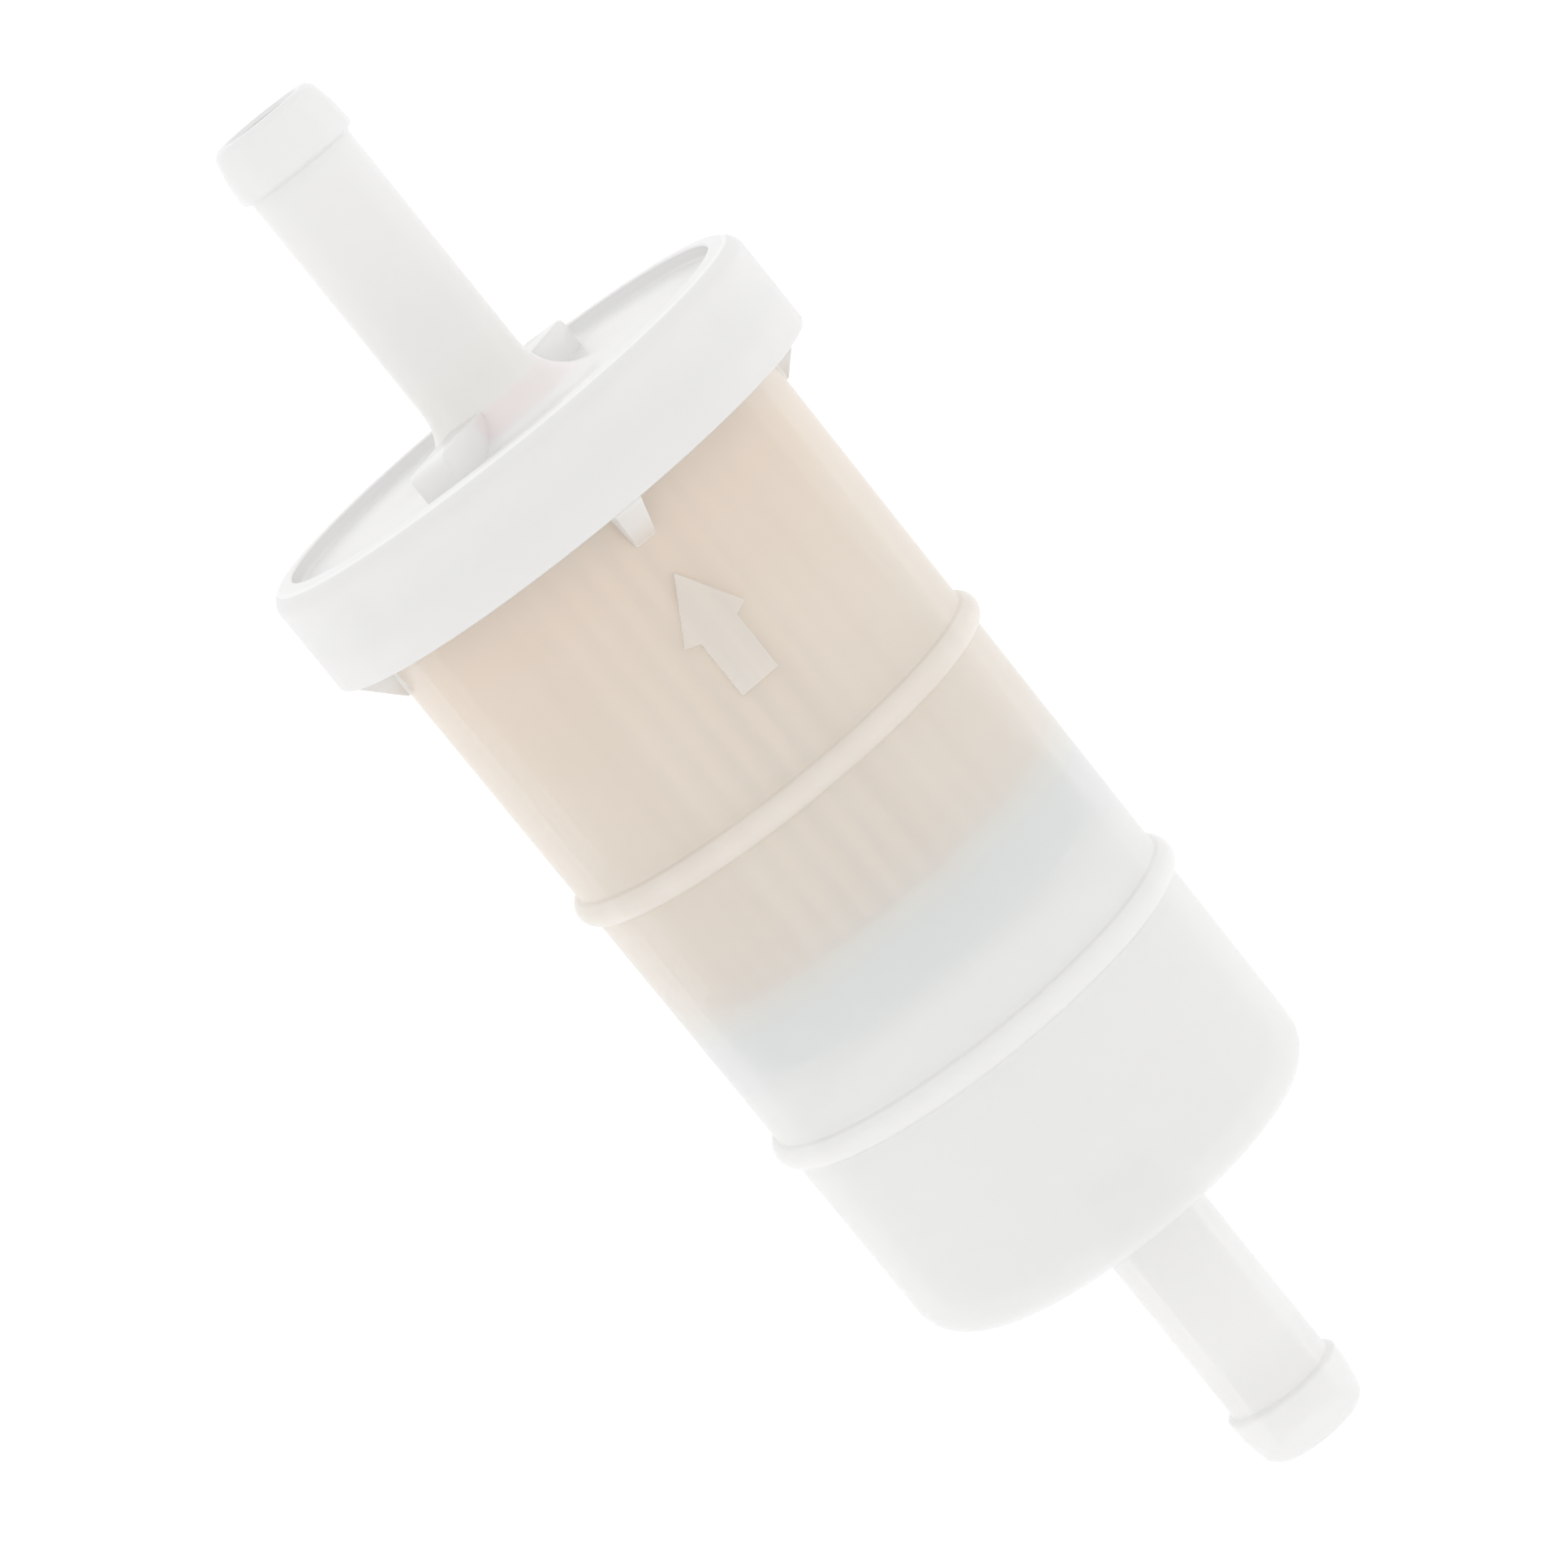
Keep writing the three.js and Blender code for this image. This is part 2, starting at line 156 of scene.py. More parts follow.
class Graph:
    """The node graph of a material or of the room's light."""

    def __init__(self, owner: Material | bpy.types.World) -> None:
        """Empties the owner's graph.

        Args:
            owner: the new material or world.
        """
        self.owner = owner
        self.owner.use_nodes = True
        self.tree = self.owner.node_tree
        self.tree.nodes.clear()

    def node(self, kind: str, settings: dict | None = None, sockets: dict | None = None) -> Node:
        """Adds a node.

        Args:
            kind: the node's type name.
            settings: its own settings, set before its sockets.
            sockets: what goes into its inputs, by name or place: a value, a Share or an output socket.

        Returns:
            The new node.
        """
        made = self.tree.nodes.new(kind)
        for key, value in (settings or {}).items():
            setattr(made, key, value)
        for key, value in (sockets or {}).items():
            source = value.socket if isinstance(value, Share) else value
            if isinstance(source, Socket):
                self.tree.links.new(source, made.inputs[key])
            else:
                made.inputs[key].default_value = source
        return Node(self, made)

    def place(self) -> Socket:
        """The point being shaded, in the row frame."""
        return self.node("ShaderNodeTexCoord").colour("Object")

    def axes(self) -> tuple[Share, Share, Share]:
        """The point's x, y and z in millimetres."""
        split = self.node("ShaderNodeSeparateXYZ", {}, {0: self.place()})
        return tuple(split.out(i) * (1 / MM) for i in range(3))

    def noise(self, size_mm: float, detail: float = 2.0, scale: Colour = (1.0, 1.0, 1.0)) -> Share:
        """Soft noise about 0.5.

        Args:
            size_mm: how wide its features are.
            detail: how much finer noise it carries.
            scale: the scale of each axis, under 1 for a pattern that runs along it.

        Returns:
            The noise.
        """
        place = self.node("ShaderNodeMapping", {}, {"Vector": self.place(), "Scale": scale}).colour()
        sockets = {"Vector": place, "Scale": 1 / (size_mm * MM), "Detail": detail}
        return self.node("ShaderNodeTexNoise", {}, sockets).out("Fac")

    def mix(self, share: "Share | float", first: object, second: object) -> Socket:
        """The colour between two, sockets or four numbers each, by the share of the second."""
        sockets = {0: share, 6: first, 7: second}
        return self.node("ShaderNodeMix", {"data_type": "RGBA"}, sockets).colour(2)

    def blend(self, share: "Share | float", first: Node, second: Node) -> Node:
        """The shader between two, by the share of the second."""
        return self.node("ShaderNodeMixShader", {}, {0: share, 1: first.colour(), 2: second.colour()})

    def ramp(self, value: Share, stops: tuple[tuple[float, tuple], ...]) -> Socket:
        """A colour that runs softly through stops as a number climbs.

        Args:
            value: the number.
            stops: each number that has a colour of its own, with the colour, climbing.

        Returns:
            The colour's socket.
        """
        low, high = stops[0][0], stops[-1][0]
        made = self.node("ShaderNodeValToRGB", {}, {0: (value - low) / (high - low)})
        ramp = made.made.color_ramp
        ramp.interpolation = "LINEAR"
        for at, colour in stops[1:-1]:
            ramp.elements.new((at - low) / (high - low)).color = opaque(*colour)
        ramp.elements[0].position, ramp.elements[-1].position = 0.0, 1.0
        ramp.elements[0].color = opaque(*stops[0][1])
        ramp.elements[-1].color = opaque(*stops[-1][1])
        return made.colour()

    def bump(self, height: Share, depth_mm: float, strength: float = 1.0) -> Socket:
        """The normal bumped by a pattern from 0 to 1, with the depth that 1 stands for."""
        sockets = {"Height": height, "Distance": depth_mm * MM, "Strength": strength}
        return self.node("ShaderNodeBump", {}, sockets).colour()

    def finish(self, shader: Node) -> Material:
        """The finished material, with a shader put out."""
        self.node("ShaderNodeOutputMaterial", {}, {"Surface": shader.colour()})
        return self.owner


def opaque(red: float, green: float, blue: float) -> tuple[float, float, float, float]:
    """A colour with its alpha, from linear red, green and blue."""
    return (red, green, blue, 1.0)


# Finishes


@dataclass(frozen=True)
class Nylon:
    """Milky natural nylon: part of the light scatters in it, and the rest shows what lies behind.

    The share that scatters is given for one surface, and light that crosses a wall meets two of them. The
    scattered light takes a soft tint from what the wall is next to, so its colour changes along the axis.
    Heights and radii are in millimetres.
    """

    name: str
    bands: tuple[tuple[float, Colour], ...]
    milk: float = 0.72
    ring_z: float = 10.6
    ring_half: float = 0.8
    ring_soft: float = 0.15
    ring_milk: float = 0.8
    ring_pale: float = 0.25
    pale: Colour = (0.87, 0.86, 0.86)
    rim_z: float = 32.4
    rim_r: float = 18.95
    rim_soft: float = 0.3
    rim: Colour = (0.86, 0.857, 0.852)
    # Painted light: above lit_face_z the face colour makes the cap's recessed top face lighter than its
    # side, which is the same nylon; the face zone also makes the milk denser.
    lit_face_z: float = 38.0
    face_r: float = 5.6
    face_soft: float = 0.4
    root_soft: float = 1.2
    face: Colour = (0.935, 0.935, 0.93)
    # Painted highlight: a thin near-white line along an edge, on the cap's rim and on the arrow's sides,
    # lifting the shade beside them; the milk is denser there too.
    highlight_r: float = 0.0
    highlight_half: float = 0.08
    highlight_z: float = 39.5
    highlight_soft: float = 0.2
    lip: Colour = (0.99, 0.99, 0.985)
    dense_milk: float = 0.92
    most_milk: float = 0.97
    # Painted shade: soft dark lengthwise streaks between two heights stand in for the shaded folds of the
    # pleats seen through the wall.
    pleat_shading: float = 0.1
    pleat_shade: Colour = (0.6, 0.5, 0.42)
    pleat_shade_mm: float = 4.0
    pleat_shade_top: Point = (34.0, 20.0)
    pleat_shade_foot: Point = (-4.0, 6.0)
    clouding: float = 0.025
    cloud: Colour = (0.8, 0.8, 0.8)
    cloud_mm: float = 7.0
    swirl_mm: float = 2.4
    grain_mm: float = 0.35
    swirl_share: float = 0.7
    depth_mm: float = 0.01
    strength: float = 0.3
    milk_drift: float = 0.04
    gloss_drift: float = 0.12
    edge_gain: float = 0.2
    edge_power: float = 2.5
    coat: float = 0.5
    coat_roughness: float = 0.14
    passes: float = 0.15
    through: Colour = (0.88, 0.86, 0.82)
    gloss: float = 0.25
    roughness: float = 0.36
    ior: float = 1.45

    def zones(self, g: Graph) -> tuple[Share, Share, Share, Share]:
        """Where the piece is a ring, a rim, a flat face or an edge with a painted highlight.

        Args:
            g: the material's graph.

        Returns:
            The four shares.
        """
        x, y, z = g.axes()
        out = (x * x + y * y) ** 0.5
        rings = abs(z).band(self.ring_z, self.ring_half, self.ring_soft)
        rim = z.step(self.rim_z - self.rim_soft, self.rim_z)
        rim = rim * out.step(self.rim_r - self.rim_soft, self.rim_r)
        face = z.step(self.rim_z - self.face_soft, self.rim_z)
        face = face * out.step(self.face_r, self.face_r + self.root_soft)
        # The painted highlight's share: a thin band at one radius, above one height.
        lip = z.step(self.highlight_z - self.highlight_soft, self.highlight_z)
        lip = lip * out.band(self.highlight_r, self.highlight_half, self.highlight_soft / 2)
        return rings, rim, face, lip

    def tint(self, g: Graph, cloud: Share, zones: tuple[Share, ...]) -> Socket:
        """The colour of the scattered light over the piece.

        Args:
            g: the material's graph.
            cloud: a slow noise that wanders the colours' edges.
            zones: the shares of ring, rim, flat face and painted highlight.

        Returns:
            The colour's socket.
        """
        _, _, z = g.axes()
        rings, rim, face, lip = zones
        # Painted shade of the pleat folds: noise stretched along the axis.
        pleat_shade = g.noise(self.pleat_shade_mm, 1.0, (1.0, 1.0, 0.03)).step(0.38, 0.68)
        tint = g.ramp(z + (cloud - 0.5) * 0.8, self.bands)
        # Over the ramp go the painted pleat shade, the paler rings, the painted light of the top face, the
        # plain rim, the painted highlight and random clouding.
        layers = (
            (pleat_shade * z.step(*self.pleat_shade_top) * z.step(*self.pleat_shade_foot) * self.pleat_shading, self.pleat_shade),
            (rings * self.ring_pale, self.pale),
            (face * z.step(self.lit_face_z, self.lit_face_z + 0.5), self.face),
            (rim, self.rim),
            (lip, self.lip),
            (cloud.step(0.35, 0.65) * self.clouding, self.cloud),
        )
        for share, colour in layers:
            tint = g.mix(share, tint, opaque(*colour))
        return tint

    def material(self) -> Material:
        """Builds the finish.

        Returns:
            The material.
        """
        g = Graph(bpy.data.materials.new(self.name))
        cloud = g.noise(self.cloud_mm)
        grain = g.noise(self.grain_mm, 3.0)
        swirl = g.noise(self.swirl_mm, 2.0, (1.0, 1.0, 0.35))
        zones = self.zones(g)
        rings, _, face, lip = zones
        facing = g.node("ShaderNodeLayerWeight", {}, {"Blend": 0.5}).out("Facing")
        milk = self.milk + (self.dense_milk - self.milk) * face.most(lip) + (cloud - 0.5) * self.milk_drift
        milk = milk + (self.ring_milk - self.milk) * rings
        milk = (milk + (facing ** self.edge_power) * self.edge_gain).least(self.most_milk)
        relief = swirl * self.swirl_share + grain * (1 - self.swirl_share)
        sockets = {
            "Base Color": self.tint(g, cloud, zones),
            "Roughness": self.roughness + (swirl - 0.5) * self.gloss_drift,
            "Specular IOR Level": self.gloss,
            "Coat Weight": self.coat,
            "Coat Roughness": self.coat_roughness,
            "IOR": self.ior,
            "Normal": g.bump(relief, self.depth_mm, self.strength),
        }
        surface = g.node("ShaderNodeBsdfPrincipled", {}, sockets)
        through = g.node("ShaderNodeBsdfTranslucent", {}, {"Color": opaque(*self.through)})
        clear = g.node("ShaderNodeBsdfTransparent", {}, {"Color": opaque(1.0, 1.0, 1.0)})
        return g.finish(g.blend(milk, clear, g.blend(self.passes, surface, through)))


@dataclass(frozen=True)
class Paper:
    """Resin-cured filter paper: tan, fibrous, rosy under the upper plate and slate just over the lower."""

    name: str
    tan: Colour = (0.95, 0.76, 0.52)
    dark: Colour = (0.9, 0.7, 0.45)
    rose: Colour = (0.97, 0.6, 0.44)
    slate: Colour = (0.78, 0.84, 0.82)
    rose_from: float = 22.5
    rose_to: float = 29.0
    slate_from: float = 4.4
    slate_to: float = 0.6
    rose_share: float = 0.85
    fibre_mm: float = 0.22
    fibre_depth_mm: float = 0.03
    blotch_mm: float = 4.5
    roughness: float = 0.85
    gloss: float = 0.3
    passes: float = 0.45

    def material(self) -> Material:
        """Builds the finish.

        Returns:
            The material.
        """
        g = Graph(bpy.data.materials.new(self.name))
        _, _, z = g.axes()
        fibre = g.noise(self.fibre_mm, 4.0, (1.0, 1.0, 0.25))
        blotch = g.noise(self.blotch_mm)
        darker = fibre.step(0.3, 0.7) * 0.6 + blotch.step(0.3, 0.7) * 0.4
        base = g.mix(darker, opaque(*self.tan), opaque(*self.dark))
        rosy = g.mix(z.step(self.rose_from, self.rose_to) * self.rose_share, base, opaque(*self.rose))
        ends = g.mix(z.step(self.slate_from, self.slate_to), rosy, opaque(*self.slate))
        sockets = {
            "Base Color": ends,
            "Roughness": self.roughness + (fibre - 0.5) * 0.2,
            "Normal": g.bump(fibre, self.fibre_depth_mm, 0.6),
            "Specular IOR Level": self.gloss,
        }
        face = g.node("ShaderNodeBsdfPrincipled", {}, sockets)
        through = g.node("ShaderNodeBsdfTranslucent", {}, {"Color": opaque(*self.tan)})
        return g.finish(g.blend(self.passes, face, through))


@dataclass(frozen=True)
class Moulding:
    """A matt moulded plastic or rubber, with faint clouding and a fine moulded grain."""

    name: str
    colour: Colour
    roughness: float = 0.5
    grain_mm: float = 0.3
    depth_mm: float = 0.01
    clouding: float = 0.1
    cloud_mm: float = 3.0

    def material(self) -> Material:
        """Builds the finish.

        Returns:
            The material.
        """
        g = Graph(bpy.data.materials.new(self.name))
        cloud = g.noise(self.cloud_mm)
        grain = g.noise(self.grain_mm, 3.0)
        dark = tuple(c * (1 - self.clouding) for c in self.colour)
        colour = g.mix(cloud.step(0.35, 0.65), opaque(*self.colour), opaque(*dark))
        sockets = {
            "Base Color": colour,
            "Roughness": self.roughness + (grain - 0.5) * 0.15,
            "Normal": g.bump(grain, self.depth_mm, 0.5),
        }
        return g.finish(g.node("ShaderNodeBsdfPrincipled", {}, sockets))


WHITE: Colour = (0.855, 0.854, 0.85)
OUTER_BANDS = (
    # Inlet spigot: painted paler than the body, standing in for light that passes through the thin tube,
    # and darker towards the tip.
    (-49.0, (0.86, 0.86, 0.86)),
    (-43.0, (0.88, 0.88, 0.88)),
    (-40.0, (0.93, 0.93, 0.93)),
    (-29.0, (0.935, 0.935, 0.935)),
    (-26.5, (0.845, 0.845, 0.84)),
    (-18.0, WHITE),
    (-12.0, WHITE),
    (-11.4, (0.885, 0.885, 0.88)),
    (-9.8, (0.885, 0.885, 0.88)),
    (-9.2, WHITE),
    (-6.0, (0.84, 0.845, 0.835)),
    (-4.8, (0.80, 0.812, 0.806)),
    (-1.2, (0.80, 0.812, 0.806)),
    (1.8, (0.855, 0.80, 0.74)),
    (6.0, (0.87, 0.81, 0.735)),
    (14.0, (0.88, 0.81, 0.722)),
    (22.0, (0.895, 0.81, 0.71)),
    (29.0, (0.92, 0.815, 0.70)),
    (32.0, (0.90, 0.82, 0.72)),
    (32.6, WHITE),
    (36.0, WHITE),
)
INNER_BANDS = (
    (-30.0, (0.95, 0.95, 0.95)),
    (-7.0, (0.95, 0.95, 0.94)),
    (-5.0, (0.86, 0.89, 0.88)),
    (-1.0, (0.85, 0.88, 0.865)),
    (3.4, (0.94, 0.88, 0.79)),
    (22.0, (0.95, 0.87, 0.76)),
    (31.0, (0.96, 0.78, 0.66)),
    (36.0, (0.95, 0.93, 0.9)),
)
RAISED_BANDS = (
    (12.0, (0.865, 0.82, 0.76)),
    (27.0, (0.87, 0.82, 0.755)),
    (29.8, (0.89, 0.84, 0.78)),
    (31.0, (0.95, 0.94, 0.92)),
    (36.0, (0.96, 0.96, 0.95)),
)
CAP_BANDS = (
    # Painted light: near-white at the recess floor and the foot of the outlet spigot lifts the shade in the
    # recessed corner round its root; the pink there is the salmon neck seen through. The spigot above is
    # painted paler than the cap's side for light that passes through the thin tube, and darker towards the
    # tip.
    (32.0, (0.86, 0.857, 0.852)),
    (39.2, (0.985, 0.98, 0.98)),
    (39.5, (0.985, 0.98, 0.98)),
    (39.7, (0.985, 0.925, 0.92)),
    (41.2, (0.985, 0.925, 0.92)),
    (41.5, (0.97, 0.96, 0.935)),
    (48.0, (0.905, 0.90, 0.89)),
    (60.0, (0.895, 0.895, 0.895)),
    (65.0, (0.87, 0.87, 0.87)),
)


@dataclass(frozen=True)
class LitFloor:
    """A plain white sweep that is lit well enough to show no shadow."""

    name: str = "white_sweep"
    white: Colour = (0.9, 0.9, 0.9)
    roughness: float = 0.8
    glow: float = 0.2

    def material(self) -> Material:
        """Builds the finish.

        Returns:
            The material.
        """
        g = Graph(bpy.data.materials.new(self.name))
        sockets = {
            "Base Color": opaque(*self.white),
            "Roughness": self.roughness,
            "Emission Color": opaque(1.0, 1.0, 1.0),
            "Emission Strength": self.glow,
        }
        return g.finish(g.node("ShaderNodeBsdfPrincipled", {}, sockets))


# Modelling by operators


class Bench:
    """Operator work shared by the pieces: selecting, turning profiles, joining and finishing."""

    @staticmethod
    def clear() -> None:
        """Leaves edit mode and deselects everything."""
        if bpy.context.object is not None and bpy.context.object.mode != "OBJECT":
            bpy.ops.object.mode_set(mode="OBJECT")
        bpy.ops.object.select_all(action="DESELECT")

    @staticmethod
    def hold(piece: Piece) -> None:
        """Makes a piece the only selected one, and active.

        Args:
            piece: the piece.
        """
        Bench.clear()
        piece.select_set(True)
        bpy.context.view_layer.objects.active = piece

    @staticmethod
    def settle(piece: Piece) -> None:
        """Puts a piece's place into its mesh, so that its object sits at the origin."""
        Bench.hold(piece)
        bpy.ops.object.transform_apply(location=True, rotation=True, scale=True)

    @staticmethod
    def profile(name: str, points: list[Point], closed: bool) -> Piece:
        """Draws a profile in the XZ plane by extruding one vertex from point to point.

        Args:
            name: the piece's name.
            points: (radius, height) points in millimetres.
            closed: whether the last point joins the first.

        Returns:
            The piece, left in edit mode with all of it selected.
        """
        Bench.clear()
        first = Vector((points[0][0] * MM, 0.0, points[0][1] * MM))
        bpy.ops.mesh.primitive_plane_add(size=MM, location=(0.0, 0.0, 0.0))
        piece = bpy.context.object
        piece.name = name
        piece.data.name = name
        bpy.ops.object.mode_set(mode="EDIT")
        bpy.ops.mesh.select_all(action="SELECT")
        bpy.ops.mesh.merge(type="CENTER")
        bpy.ops.transform.translate(value=first)
        last = first
        for radius, height in points[1:]:
            here = Vector((radius * MM, 0.0, height * MM))
            bpy.ops.mesh.extrude_region_move(TRANSFORM_OT_translate={"value": here - last})
            last = here
        bpy.ops.mesh.select_all(action="SELECT")
        if closed:
            bpy.ops.mesh.remove_doubles(threshold=MM * 0.001)
            edit = bmesh.from_edit_mesh(piece.data)
            ends = [v for v in edit.verts if len(v.link_edges) == 1]
            if len(ends) == 2:
                bpy.ops.mesh.select_all(action="DESELECT")
                for v in ends:
                    v.select = True
                edit.select_flush_mode()
                bmesh.update_edit_mesh(piece.data)
                bpy.ops.mesh.edge_face_add()
                bpy.ops.mesh.select_all(action="SELECT")
        return piece

    @staticmethod
    def turned(name: str, points: list[Point], steps: int, closed: bool = True) -> Piece:
        """Turns a profile about the Z axis.

        Args:
            name: the piece's name.
            points: (radius, height) points in millimetres.
            steps: how many steps make the full turn.
            closed: whether the profile closes on itself; an open one meets the axis at both ends.

        Returns:
            The turned solid, in object mode.
        """
        piece = Bench.profile(name, points, closed)
        bpy.ops.mesh.spin(
            steps=steps, angle=2 * math.pi, center=(0.0, 0.0, 0.0), axis=(0.0, 0.0, 1.0), dupli=False
        )
        bpy.ops.mesh.select_all(action="SELECT")
        bpy.ops.mesh.remove_doubles(threshold=MM * 0.002)
        bpy.ops.mesh.dissolve_degenerate(threshold=MM * 0.001)
        bpy.ops.mesh.normals_make_consistent(inside=False)
        bpy.ops.object.mode_set(mode="OBJECT")
        return piece

    @staticmethod
    def prism(name: str, outline: list[Point], start: float, end: float) -> Piece:
        """A flat outline in the XZ plane, filled and extruded along Y.

        Args:
            name: the piece's name.
            outline: (x, height) points in millimetres, in order.
            start: where the solid begins along Y, in millimetres.
            end: where it ends.

        Returns:
            The solid, in object mode.
        """
        piece = Bench.profile(name, outline, True)
        bpy.ops.mesh.edge_face_add()
        bpy.ops.transform.translate(value=(0.0, start * MM, 0.0))
        bpy.ops.mesh.extrude_region_move(TRANSFORM_OT_translate={"value": (0.0, (end - start) * MM, 0.0)})
        bpy.ops.mesh.select_all(action="SELECT")
        bpy.ops.mesh.normals_make_consistent(inside=False)
        bpy.ops.object.mode_set(mode="OBJECT")
        return piece

    @staticmethod
    def apply(piece: Piece, kind: str, settings: dict) -> None:
        """Adds a modifier with these settings and applies it.

        Args:
            piece: the piece it works on.
            kind: the modifier's type name.
            settings: its settings.
        """
        Bench.hold(piece)
        modifier = piece.modifiers.new(kind.lower(), kind)
        for key, value in settings.items():
            setattr(modifier, key, value)
        bpy.ops.object.modifier_apply(modifier=modifier.name)

    @staticmethod
    def boolean(piece: Piece, tool: Piece, operation: str) -> None:
        """Joins, cuts or crosses a piece with a tool, which is then thrown away.

        Args:
            piece: the piece that stays.
            tool: the other solid.
            operation: UNION, DIFFERENCE or INTERSECT.
        """
        settings = {"object": tool, "operation": operation, "solver": "EXACT", "material_mode": "TRANSFER"}
        Bench.apply(piece, "BOOLEAN", settings)
        bpy.data.objects.remove(tool)

    @staticmethod
    def bevel(piece: Piece, width: float, segments: int = 2) -> None:
        """Softens a piece's sharp edges over a width in millimetres."""
        Bench.apply(piece, "BEVEL", {"width": width * MM, "segments": segments, "limit_method": "ANGLE"})

    @staticmethod
    def turn(piece: Piece, angle: float) -> None:
        """Turns a piece's mesh about the axis, in radians, counter-clockwise seen from the outlet."""
        piece.data.transform(Matrix.Rotation(angle, 4, "Z"))

    @staticmethod
    def smooth(piece: Piece, degrees: float = 32.0) -> Piece:
        """Shades a piece smooth, except over edges sharper than an angle.

        Args:
            piece: the piece.
            degrees: the angle.

        Returns:
            The same piece.
        """
        Bench.hold(piece)
        bpy.ops.object.shade_smooth_by_angle(angle=math.radians(degrees))
        return piece

    @staticmethod
    def arc(centre: Point, radius: float, start: float, end: float, steps: int) -> list[Point]:
        """Points on an arc of a profile, both ends included, with its angles in degrees."""
        angles = [math.radians(start + (end - start) * i / steps) for i in range(steps + 1)]
        return [(centre[0] + radius * math.cos(a), centre[1] + radius * math.sin(a)) for a in angles]

    @staticmethod
    def curve(points: list[Point], steps: int) -> list[Point]:
        """A smooth line through profile points.

        Args:
            points: the points it passes, in order.
            steps: how many steps there are between two of them.

        Returns:
            The points of the smooth line.
        """
        line: list[Point] = []
        last = len(points) - 1
        for i in range(last):
            p = [Vector(points[max(0, min(last, i + k))]) for k in (-1, 0, 1, 2)]
            for s in range(steps):
                t = s / steps
                at = 0.5 * (
                    2 * p[1]
                    + (p[2] - p[0]) * t
                    + (2 * p[0] - 5 * p[1] + 4 * p[2] - p[3]) * t * t
                    + (3 * p[1] - p[0] - 3 * p[2] + p[3]) * t ** 3
                )
                line.append((at.x, at.y))
        line.append(points[-1])
        return line

    @staticmethod
    def dress(piece: Piece, finish: Material, slot: str, nodes: tuple[str, ...]) -> None:
        """Gives a finished piece its material and its body, and hides the CAD nodes that it stands for.

        Args:
            piece: the piece.
            finish: its material.
            slot: not used.
            nodes: the CAD nodes that it replaces.
        """
        Bench.settle(piece)
        if not piece.data.materials:
            piece.data.materials.append(finish)
        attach(piece, "root")
        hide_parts(*nodes)
        faces = sum(len(p.vertices) - 2 for p in piece.data.polygons)
        LOG.info("%s: %d triangles, for %s", piece.name, faces, ", ".join(nodes))


# Pieces


@dataclass
class HoseBarb:
    """The end of a spigot that a hose is pushed over: a shoulder, a swelling and a rounded tip."""

    spigot_r: float = 4.0
    bore_r: float = 2.75
    crest_r: float = 4.52
    tip_r: float = 3.85
    nose: float = 0.35
    bore_lead: float = 0.25
    root_r: float = 0.12

    def outline(self, shoulder: float, tip: float) -> list[Point]:
        """The outside of the barb, from the spigot to the bore's mouth.

        Args:
            shoulder: the height of the shoulder, in millimetres.
            tip: the height of the tip.

        Returns:
            The profile's points.
        """
        way = 1.0 if tip > shoulder else -1.0
        length = abs(tip - shoulder)
        shape = [
            (self.crest_r, 0.42),
            (self.crest_r - 0.08, 0.42 * length),
            (self.crest_r - 0.2, 0.6 * length),
            (self.crest_r - 0.46, 0.88 * length),
            (self.tip_r - 0.06, length - self.nose * 0.5),
        ]
        foot = [(self.spigot_r, shoulder - way * self.root_r), (self.spigot_r + 0.05, shoulder)]
        foot += [(self.crest_r - 0.12, shoulder + way * 0.16), (self.crest_r - 0.03, shoulder + way * 0.27)]
        swell = [(r, shoulder + way * h) for r, h in Bench.curve(shape, 5)]
        nose = [(self.tip_r - 0.16, tip - way * 0.06), (self.tip_r - self.nose, tip)]
        mouth = [(self.bore_r + self.bore_lead, tip), (self.bore_r, tip - way * self.bore_lead)]
        return foot + swell + nose + mouth


